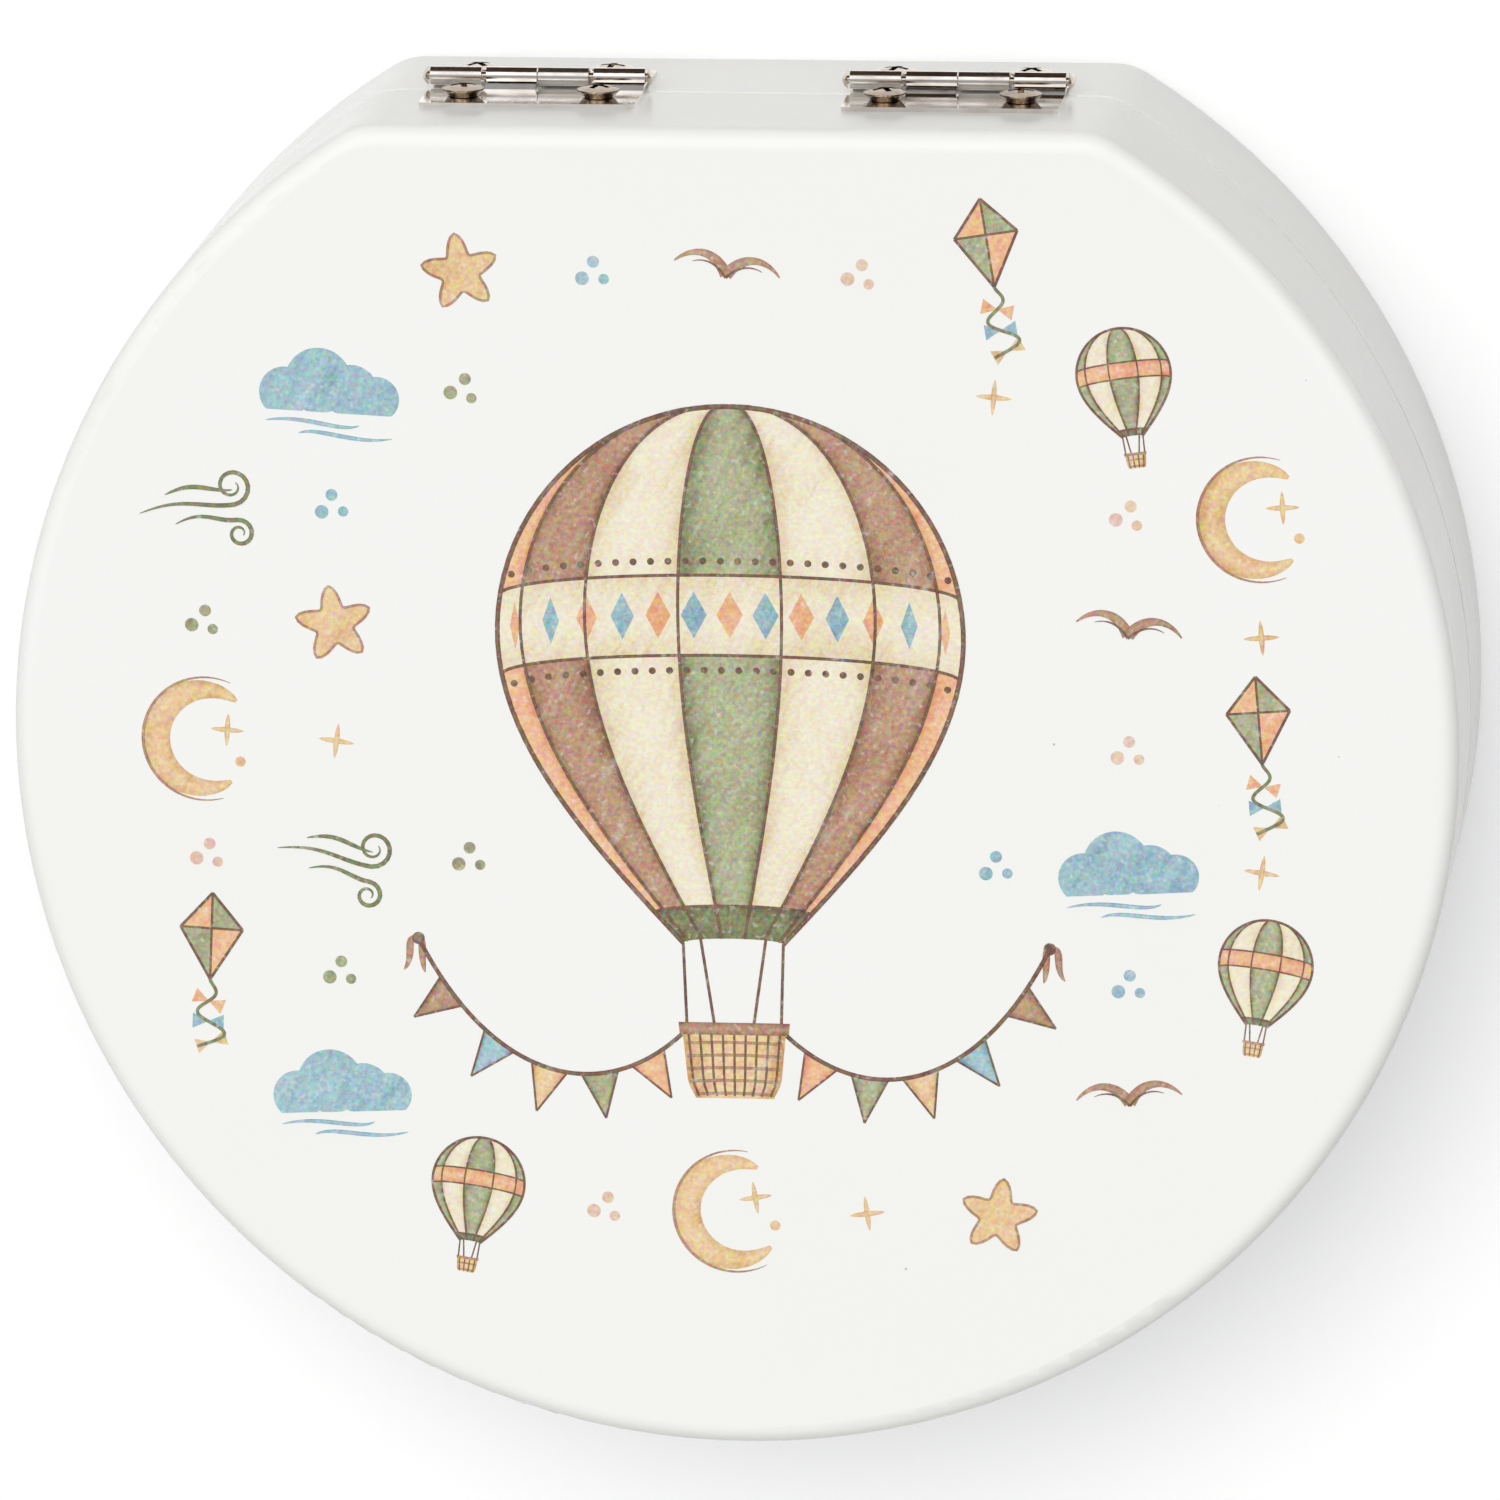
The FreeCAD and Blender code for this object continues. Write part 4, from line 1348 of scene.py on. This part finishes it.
@dataclass(frozen=True)
class Kite:
    """A four-panelled kite with a waving tail and its bows.

    Each bow has its share of the way along the tail, its turn in degrees and its ink.
    """

    half_width: float = 2.5
    head: float = 2.9
    foot: float = 4.2
    lift: float = 3.5
    panels: tuple[Ink, Ink] = (Ink.SAGE, Ink.PEACH)
    edge_line: float = 0.22
    spar_line: float = 0.18
    tail: float = 5.6
    tail_line: float = 0.26
    waves: float = 1.6
    swing: float = 1.5
    swing_power: float = 0.6
    bows: tuple[tuple[float, float, Ink], ...] = (
        (0.32, -20.0, Ink.PEACH),
        (0.62, 0.0, Ink.BLUE),
        (0.92, 20.0, Ink.OCHRE),
    )
    bow_reach: float = 1.25
    bow_half_height: float = 0.62

    def trail(self, share: float) -> Point:
        """The tail's point at a share of the way along."""
        aside = self.swing * share**self.swing_power * math.sin(FULL_TURN * self.waves * share)
        return aside, -self.foot - self.tail * share

    def draw(self, canvas: Canvas, place: Place) -> None:
        """Draws the kite, tail and all.

        Args:
            canvas: What to draw on.
            place: Where the middle of both is.
        """
        place = place.within(0.0, self.lift)
        right, left = (self.half_width, 0.0), (-self.half_width, 0.0)
        head, foot = (0.0, self.head), (0.0, -self.foot)
        tips = (right, head, left, foot)
        for number, (tip, following) in enumerate(zip(tips, (*tips[1:], right))):
            corners = ((0.0, 0.0), tip, following)
            ink = self.panels[number % len(self.panels)]
            canvas.patch(ink, Layer.WASH, place, polygon(corners), len(corners))
            edge = straight(tip, following)
            canvas.stroke(Ink.UMBER, Layer.DETAIL, place, edge, self.edge_line, along=6)
        for spar in (straight(right, left), straight(head, foot)):
            canvas.stroke(Ink.UMBER, Layer.DETAIL, place, spar, self.spar_line, along=6)
        canvas.stroke(Ink.MOSS, Layer.LINE, place, self.trail, self.tail_line)
        for share, turn, ink in self.bows:
            bow = place.within(*self.trail(share), turn=turn)
            for side in (-1, 1):
                x, y = side * self.bow_reach, side * self.bow_half_height
                corners = ((0.0, 0.0), (x, y), (x, -y))
                canvas.patch(ink, Layer.DETAIL, bow, polygon(corners), len(corners), rims=False)


@dataclass(frozen=True)
class Bird:
    """A bird in flight, drawn with a few strokes.

    The points of each stroke lie at a share of the wing's length and a height in millimetres.
    """

    wing: float = 4.2
    upper: tuple[Point, ...] = ((0.0, 0.0), (0.25, 1.9), (0.7, 1.9), (1.0, 0.5))
    upper_width: float = 0.95
    lower: tuple[Point, ...] = ((0.0, -0.2), (0.2, 0.9), (0.45, 1.1), (0.66, 0.7))
    lower_width: float = 0.22

    def draw(self, canvas: Canvas, place: Place) -> None:
        """Draws the bird.

        Args:
            canvas: What to draw on.
            place: Where its wings meet.
        """
        for side in (-1, 1):
            reach = side * self.wing
            upper = bezier(*((share * reach, y) for share, y in self.upper))
            width = self.upper_width
            canvas.stroke(Ink.BROWN, Layer.LINE, place, upper, width, Taper.TAIL, along=24)
            lower = bezier(*((share * reach, y) for share, y in self.lower))
            width = self.lower_width
            canvas.stroke(Ink.UMBER, Layer.TOP, place, lower, width, Taper.TAIL, along=16)


@dataclass(frozen=True)
class Breeze:
    """Lines of wind that end in a curl.

    Each line has its height in millimetres, the share of the length that it starts at, and 1 if it
    curls upwards, -1 if downwards, 0 if it doesn't curl.
    """

    length: float = 9.0
    lines: tuple[tuple[float, float, int], ...] = ((0.0, -0.55, 1), (-1.25, -0.25, -1), (1.2, -0.3, 0))
    end_share: float = 0.3
    width: float = 0.36
    wave: float = 0.35
    wave_turn: float = 1.5 * HALF_TURN
    curl: float = 1.5
    lower_curl_share: float = 0.75
    curl_start: float = 0.5
    curl_turn: float = 1.35 * FULL_TURN
    curl_shrink: float = 0.72

    def draw(self, canvas: Canvas, place: Place) -> None:
        """Draws the lines.

        Args:
            canvas: What to draw on.
            place: Where they stand.
        """
        for line in self.lines:
            path = self.path(*line)
            canvas.stroke(Ink.MOSS, Layer.LINE, place, path, self.width, Taper.BOTH, along=48)

    def path(self, level: float, start: float, side: int) -> Path:
        """One line of wind.

        Args:
            level: How high it runs, in millimetres.
            start: Where it starts, as a share of the length.
            side: The way that it curls.

        Returns:
            Its path.
        """
        curl = self.curl if side > 0 else self.curl * self.lower_curl_share

        def along(share: float) -> Point:
            """The line's point.

            Args:
                share: The share of the way.

            Returns:
                The point.
            """
            run = min(share / self.curl_start, 1.0) if side else share
            x = self.length * (start + run * (self.end_share - start))
            y = level + self.wave * math.sin(self.wave_turn * run)
            if not side or share <= self.curl_start:
                return x, y
            wound = (share - self.curl_start) / (1 - self.curl_start)
            angle = wound * self.curl_turn
            reach = curl * (1 - self.curl_shrink * wound)
            return x + reach * math.sin(angle), y + side * (curl - reach * math.cos(angle))

        return along


@dataclass(frozen=True)
class Seeds:
    """Three small dots, each with its place and radius."""

    ink: Ink
    dots: tuple[Triple, ...] = ((-0.9, -0.3, 0.55), (0.8, -0.5, 0.42), (0.1, 0.95, 0.48))

    def draw(self, canvas: Canvas, place: Place) -> None:
        """Draws the dots about a place."""
        for x, y, radius in self.dots:
            canvas.dot(self.ink, Layer.WASH, place.within(x, y), radius)


@dataclass
class LidPrint:
    """The print on the lid: a balloon in the middle, and sky motifs in a half-drop repeat round it."""

    node: str = "lid_shell"
    body: str = "lid"
    gores: tuple[Ink, ...] = (
        Ink.PEACH, Ink.BROWN, Ink.CREAM, Ink.SAGE, Ink.CREAM, Ink.BROWN, Ink.PEACH
    )
    balloon_y: float = 9.0
    hook_drop: float = 1.0
    small_gores: tuple[Ink, ...] = (Ink.SAGE, Ink.CREAM, Ink.SAGE, Ink.CREAM, Ink.SAGE)
    small_line: float = 0.75
    small_scale: float = 0.2
    small_lift: float = 2.0
    column_width: float = 10.5
    row_height: float = 19.0
    half_drop: float = 0.5
    stride: int = 3
    sway: float = 9.0
    sway_rates: Point = (1.7, 2.3)
    reach: float = 47.0
    back: float = 40.0
    clear_half_width: float = 23.5
    clear_half_height: float = 25.0
    garland_half_width: float = 31.0
    garland_half_height: float = 12.0
    garland_y: float = -20.0

    def build(self) -> None:
        """Draws the whole print, in pieces that ride on the lid."""
        canvas = Canvas(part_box(self.node)[1].z)
        balloon = Balloon(self.gores)
        middle = Place(0.0, self.balloon_y)
        balloon.draw(canvas, middle)
        hook = -balloon.drop - balloon.rope - self.hook_drop
        for way in (-1, 1):
            Bunting().draw(canvas, middle.within(way * balloon.basket_width / 2, hook), way)
        self.scatter(canvas)
        canvas.make_pieces(self.body)

    def scatter(self, canvas: Canvas) -> None:
        """Draws the repeat round the balloon, and small motifs between its places.

        Args:
            canvas: What to draw on.
        """
        small_balloon = Balloon(
            self.small_gores, Ink.PEACH, line=self.small_line, diamonds=0, rows=2, stakes=4
        )
        large = (Cloud(), Kite(), Star(), small_balloon, Breeze(), Bird(), Moon())
        small = (Seeds(Ink.BLUSH), Sparkle(), Seeds(Ink.SAGE), Seeds(Ink.BLUE))
        for number, place in enumerate(self.places(0.0)):
            motif = large[number * self.stride % len(large)]
            if motif is small_balloon:
                place = place.within(0.0, self.small_lift, scale=self.small_scale)
            motif.draw(canvas, place)
        for number, place in enumerate(self.places(self.half_drop)):
            small[number % len(small)].draw(canvas, place)

    def places(self, shift: float) -> list[Place]:
        """The places of the repeat that are free.

        Args:
            shift: How far the repeat is moved up, as a share of a row.

        Returns:
            The places, row by row, each turned a little its own way.
        """
        steps = math.ceil(self.reach / min(self.column_width, self.row_height)) + 1
        column_rate, row_rate = self.sway_rates
        found = []
        for row in range(-steps, steps + 1):
            for column in range(-steps, steps + 1):
                x = column * self.column_width
                y = (row + shift + self.half_drop * (column % 2)) * self.row_height
                if self.is_free(x, y):
                    turn = self.sway * math.sin(column_rate * column + row_rate * row)
                    found.append(Place(x, y, turn))
        return found

    def is_free(self, x: float, y: float) -> bool:
        """Whether a motif fits at a point.

        Args:
            x: The point's X, in millimetres.
            y: The point's Y, in millimetres.

        Returns:
            Whether it lies on the face, clear of the balloon and its bunting.
        """
        on_face = math.hypot(x, y) < self.reach and y < self.back
        balloon = (x / self.clear_half_width, (y - self.balloon_y) / self.clear_half_height)
        garland = (x / self.garland_half_width, (y - self.garland_y) / self.garland_half_height)
        return on_face and math.hypot(*balloon) > 1 and math.hypot(*garland) > 1


# The box itself.


def dress(node: bpy.types.Object, material: bpy.types.Material) -> None:
    """Gives a node of the model a finish.

    Args:
        node: The node's object.
        material: The finish.
    """
    if not node.material_slots:
        node.data.materials.append(material)
    for slot in node.material_slots:
        slot.material = material
    log.info("%s: %s", node.name, material.name)


@dataclass
class Case:
    """The two lacquered halves."""

    shells: tuple[str, ...] = ("base_shell", "lid_shell")
    finish: Lacquer = Lacquer()

    def build(self, nodes: Nodes) -> None:
        """Lacquers both halves.

        Args:
            nodes: The model's nodes by name.
        """
        lacquer = self.finish.material()
        for name in self.shells:
            dress(nodes[name], lacquer)


@dataclass
class Hinges:
    """The leaves, pins and screws of both hinges. The lid leaves differ: the left one has brighter
    paint, a painted highlight, and a smoother finish. The lid screws are a darker copy of the base
    screws, a painted shade.
    """

    lid_leaves: tuple[tuple[str, Nickel], ...] = (
        (
            "left",
            # The left lid leaf's paint is brighter than the right's: a painted highlight. Its lower
            # roughness and smaller waves are its finish.
            Nickel(
                "hinge_nickel_painted_highlight",
                bright=Paint(253, 250, 246),
                dull=Paint(240, 234, 228),
                polish=0.03,
                haze=0.09,
                wave_depth=0.004 * MM,
            ),
        ),
        ("right", Nickel("hinge_nickel")),
    )
    base_leaf: Nickel = Nickel("hinge_nickel_worn", polish=0.16, haze=0.3)
    pin: Nickel = Nickel(
        "pin_nickel", bright=Paint(226, 215, 202), dull=Paint(184, 168, 152), polish=0.06, haze=0.14
    )
    screw_wave_size: float = 0.35 * MM
    screw_wave_depth: float = 0.06 * MM
    screw_wave_strength: float = 0.7
    # How far out from the leaf's back the screws are painted dark, a painted shade with a painted
    # highlight.
    screw_painted_shade_level: float = 1.04 * MM
    # The lid screws' nickel: a darker copy of the base screws' nickel, a painted shade.
    lid_screw_painted_shade_bright: Paint = Paint(186, 170, 154)
    lid_screw_painted_shade_dull: Paint = Paint(132, 116, 102)

    def build(self, nodes: Nodes) -> None:
        """Plates every piece of both hinges.

        Args:
            nodes: The model's nodes by name.
        """
        base_screw = replace(
            self.pin,
            name="screw_nickel",
            wave_size=self.screw_wave_size,
            wave_depth=self.screw_wave_depth,
            wave_strength=self.screw_wave_strength,
            painted_shade_level=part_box("left_hinge_lid_leaf")[0].y + self.screw_painted_shade_level,
        )
        # The lid screws take a darker copy of the same nickel: painted shade.
        lid_screw = replace(
            base_screw,
            name="screw_nickel_painted_shade",
            bright=self.lid_screw_painted_shade_bright,
            dull=self.lid_screw_painted_shade_dull,
        )
        shared = {
            "base_leaf": self.base_leaf.material(),
            "pin": self.pin.material(),
            "base_screws": base_screw.material(),
            "lid_screws": lid_screw.material(),
        }
        for side, lid_leaf in self.lid_leaves:
            dress(nodes[f"{side}_hinge_lid_leaf"], lid_leaf.material())
            for piece, material in shared.items():
                dress(nodes[f"{side}_hinge_{piece}"], material)


@dataclass(frozen=True)
class FlatBackedRound:
    """A round cut off by a straight back, with rounded corners between the two."""

    radius: float
    back: float
    corner: float

    def reach(self, angle: float) -> float:
        """How far the outline lies from the centre.

        Args:
            angle: The direction, in radians from +X.

        Returns:
            The distance, in metres.
        """
        turned = math.asin(math.sin(angle))
        corner_y = self.back - self.corner
        corner_x = math.sqrt((self.radius - self.corner) ** 2 - corner_y**2)
        if turned <= math.atan2(corner_y, corner_x):
            return self.radius
        if turned >= math.atan2(self.back, corner_x):
            return self.back / math.sin(turned)
        along = corner_x * math.cos(turned) + corner_y * math.sin(turned)
        return along + math.sqrt(along**2 - corner_x**2 - corner_y**2 + self.corner**2)


@dataclass
class FeltSheet:
    """The felt under the tray: a sheet that swells a little wherever the tray is open over it."""

    node: str = "felt_liner"
    body: str = "base"
    corner: float = 4.8 * MM
    threads: int = 150
    swell: float = 0.3 * MM
    ripple: float = 0.06 * MM
    ripple_size: float = 3.0 * MM
    bore_gap: float = 1.0 * MM
    finish: Felt = Felt()

    def build(self, openings: Sequence[dict]) -> None:
        """Models the sheet over its solid.

        Args:
            openings: The record's openings, each with a name and a box.
        """
        low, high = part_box(self.node)
        mesh = self.woven(low, high, self.bores(openings, high.z))
        sheet = as_object(mesh, "felt_sheet", self.finish.material(), smooth=True)
        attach(sheet, self.body)
        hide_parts(self.node)

    def woven(
        self, low: Vector, high: Vector, bores: Sequence[tuple[Vector, float]]
    ) -> bmesh.types.BMesh:
        """The sheet's mesh.

        Args:
            low: The lowest corner of the solid's box.
            high: Its highest corner.
            bores: The middle and radius of each opening over the sheet.

        Returns:
            The mesh, a closed shell.
        """
        outline = FlatBackedRound(high.x, high.y, self.corner)
        mesh = bmesh.new()
        count = self.threads
        grid = bmesh.ops.create_grid(mesh, x_segments=count, y_segments=count, size=1.0)["verts"]
        for vert in grid:
            share, angle = self.unrolled(vert.co.x, vert.co.y)
            reach = share * outline.reach(angle)
            spot = Vector((reach * math.cos(angle), reach * math.sin(angle), high.z))
            lifts = (1 - ((spot.xy - centre).length / radius) ** 2 for centre, radius in bores)
            lift = max(lifts, default=0.0)
            if lift > 0:
                bumps = self.ripple * noise.noise(spot / self.ripple_size)
                spot.z += self.swell * math.sqrt(lift) + bumps
            vert.co = spot
        bmesh.ops.recalc_face_normals(mesh, faces=mesh.faces[:])
        for vert in extruded(mesh):
            vert.co.z = low.z
        bmesh.ops.recalc_face_normals(mesh, faces=mesh.faces[:])
        return mesh

    @staticmethod
    def unrolled(u: float, v: float) -> Point:
        """A square's point as a point of a round, ring by ring.

        Args:
            u: The square's first coordinate, from -1 to 1.
            v: Its second coordinate.

        Returns:
            The share of the radius, and the angle.
        """
        share = max(abs(u), abs(v))
        if share == 0:
            return 0.0, 0.0
        if abs(u) >= abs(v):
            return share, EIGHTH_TURN * v / u + (HALF_TURN if u < 0 else 0.0)
        return share, QUARTER_TURN - EIGHTH_TURN * u / v + (HALF_TURN if v < 0 else 0.0)

    def bores(self, openings: Sequence[dict], level: float) -> list[tuple[Vector, float]]:
        """The round openings that start just over a level.

        Args:
            openings: The record's openings, whose boxes fit inside the rounds.
            level: The height, in metres.

        Returns:
            Each one's middle and radius.
        """
        found = []
        for opening in openings:
            low, high = (Vector(corner) for corner in opening["box_m"])
            if abs(low.z - level) < self.bore_gap:
                found.append((((low + high) / 2).xy, (high.x - low.x) / math.sqrt(2)))
        return found


@dataclass
class Interior:
    """What lies in the base, and the magnets in both rims."""

    tray: str = "tooth_tray"
    magnets: tuple[str, ...] = (
        "left_base_magnet", "right_base_magnet", "left_lid_magnet", "right_lid_magnet"
    )
    wood: TrayWood = TrayWood()
    plate: Nickel = Nickel(
        "magnet_plate", Paint(214, 212, 209), Paint(190, 187, 182), polish=0.2, haze=0.38
    )

    def build(self, nodes: Nodes, openings: Sequence[dict]) -> None:
        """Finishes the tray and the magnets, and lays the felt.

        Args:
            nodes: The model's nodes by name.
            openings: The record's openings.
        """
        dress(nodes[self.tray], self.wood.material())
        plate = self.plate.material()
        for name in self.magnets:
            dress(nodes[name], plate)
        FeltSheet().build(openings)


# The studio.


@dataclass
class Studio:
    """A pale floor, soft light from above and behind, and the camera.

    The sky, its mirrored halves and the screen's edge are ramps: each stop has a place and a level. A
    shade stands behind each hinge, named by its pin, with how far away a mirror still shows it.
    """

    eye: Triple = (0.1142, 0.2313, 0.9983)
    heading: Triple = (-0.1127, -0.2315, -0.9663)
    up: Triple = (-0.0162, 0.9728, -0.2311)
    lens: float = 303.8
    sensor: float = 36.0
    clip: Span = (0.01, 48.0)
    floor_half: float = 12.0
    floor_tiles: int = 8
    floor_paint: tuple[float, ...] = (0.62, 0.614, 0.6, 1.0)
    floor_glow: tuple[float, ...] = (0.38, 0.386, 0.4, 1.0)
    matt: float = 0.9
    key_from: Triple = (-0.14, 0.4, 0.95)
    key_strength: float = 1.84
    key_spread: float = 44.0
    sky: tuple[Point, ...] = ((0.0, 1.0), (0.06, 1.0), (0.1, 0.1), (0.66, 0.1), (0.84, 1.0))
    mirrored_sky: tuple[Point, ...] = ((0.0, 0.2), (0.3, 0.2), (0.8, 0.25), (1.0, 0.33))
    mirrored_screen: tuple[Point, ...] = (
        (0.0, 0.3), (0.3, 0.35), (0.5, 1.15), (0.92, 1.15), (0.955, 0.42)
    )
    screen_edge: tuple[Point, ...] = ((0.05, 0.0), (0.25, 1.0))
    shades: tuple[tuple[str, float], ...] = (
        ("left_hinge_pin", 3.05 * MM),
        ("right_hinge_pin", 3.6 * MM),
    )
    shade_paint: Paint = Paint(92, 76, 66)
    shade_gap: float = 1.8 * MM
    shade_low: float = -2.1 * MM
    shade_high: float = 1.9 * MM
    shade_margin: float = 1.0 * MM

    def build(self) -> None:
        """Sets up the floor, the light and the camera."""
        self.build_floor()
        self.build_shades()
        self.build_world()
        self.build_key()
        self.build_camera()

    def build_floor(self) -> None:
        """Lays a floor that a camera or a mirror sees as white, and that keeps the shadow."""
        graph = ShaderGraph("floor")
        graph.set(Base_Color=self.floor_paint, Roughness=self.matt, Specular_IOR_Level=0.0)
        ray = graph.add("ShaderNodeLightPath").outputs
        seen = graph.math("MAXIMUM", ray["Is Camera Ray"], ray["Is Glossy Ray"])
        seen = graph.math("MAXIMUM", seen, ray["Is Transmission Ray"])
        graph.set(Emission_Color=self.floor_glow, Emission_Strength=seen)
        mesh = bmesh.new()
        count = self.floor_tiles
        bmesh.ops.create_grid(mesh, x_segments=count, y_segments=count, size=self.floor_half)
        as_object(mesh, "floor", graph.material)

    def build_shades(self) -> None:
        """Stands a dark card behind each hinge that only metal close to it mirrors."""
        for name, reach in self.shades:
            graph = ShaderGraph(f"shade_of_{name}")
            graph.set(Base_Color=self.shade_paint, Roughness=self.matt, Specular_IOR_Level=0.0)
            distance = graph.add("ShaderNodeLightPath").outputs["Ray Length"]
            graph.set(Alpha=graph.math("LESS_THAN", distance, reach))
            low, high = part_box(name)
            width, height = high.x - low.x + 2 * self.shade_margin, self.shade_high - self.shade_low
            middle = (low + high) / 2
            middle.y = high.y + self.shade_gap
            middle.z += (self.shade_high + self.shade_low) / 2
            upright = Matrix.Rotation(QUARTER_TURN, 4, "X")
            placed = Matrix.Translation(middle) @ upright @ Matrix.Diagonal((width, height, 1.0, 1.0))
            mesh = bmesh.new()
            bmesh.ops.create_grid(mesh, x_segments=1, y_segments=1, size=0.5, matrix=placed)
            card = as_object(mesh, f"shade_of_{name}", graph.material)
            for rays in ("camera", "diffuse", "transmission", "shadow"):
                setattr(card, f"visible_{rays}", False)

    def build_world(self) -> None:
        """Lights the scene softly from all round, and shows mirrors a bright screen behind the box."""
        world = bpy.data.worlds.new("studio")
        bpy.context.scene.world = world
        world.use_nodes = True
        graph = NodeGraph(world.node_tree)
        heading = graph.add("ShaderNodeTexCoord").outputs["Generated"]
        height = graph.part(heading, "Z")
        before = graph.ramp(height, self.mirrored_sky)
        screen = graph.ramp(height, self.mirrored_screen)
        behind = graph.ramp(graph.part(heading, "Y"), self.screen_edge)
        mirrored = graph.blend(behind, before, screen)
        is_mirror = graph.add("ShaderNodeLightPath").outputs["Is Glossy Ray"]
        light = graph.blend(is_mirror, graph.ramp(height, self.sky), mirrored)
        graph.feed(graph.tree.nodes["Background"].inputs["Color"], light)

    def build_key(self) -> None:
        """Adds the broad key light, from above and behind."""
        light = bpy.data.lights.new("key", "SUN")
        light.energy = self.key_strength
        light.angle = math.radians(self.key_spread)
        lamp = bpy.data.objects.new("key", light)
        lamp.rotation_mode = "QUATERNION"
        lamp.rotation_quaternion = Vector(self.key_from).to_track_quat("Z", "Y")
        lamp.visible_glossy = False
        bpy.context.scene.collection.objects.link(lamp)

    def build_camera(self) -> None:
        """Sets the camera above the lid, leaning to the side with the hinges."""
        data = bpy.data.cameras.new("camera")
        data.lens = self.lens
        data.sensor_width = self.sensor
        data.clip_start, data.clip_end = self.clip
        camera = bpy.data.objects.new("camera", data)
        ahead = Vector(self.heading).normalized()
        right = ahead.cross(Vector(self.up)).normalized()
        axes = Matrix((right, right.cross(ahead), -ahead)).transposed()
        camera.matrix_world = Matrix.Translation(self.eye) @ axes.to_4x4()
        bpy.context.scene.collection.objects.link(camera)
        bpy.context.scene.camera = camera
        bpy.context.scene.view_settings.view_transform = "Standard"


def main() -> None:
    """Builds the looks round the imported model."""
    logging.basicConfig(level=logging.INFO, format="%(name)s: %(message)s")
    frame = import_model()
    nodes = frame["nodes"]
    Case().build(nodes)
    Hinges().build(nodes)
    Interior().build(nodes, frame["record"]["physics"]["openings"])
    LidPrint().build()
    Studio().build()


if __name__ == "__main__":
    main()
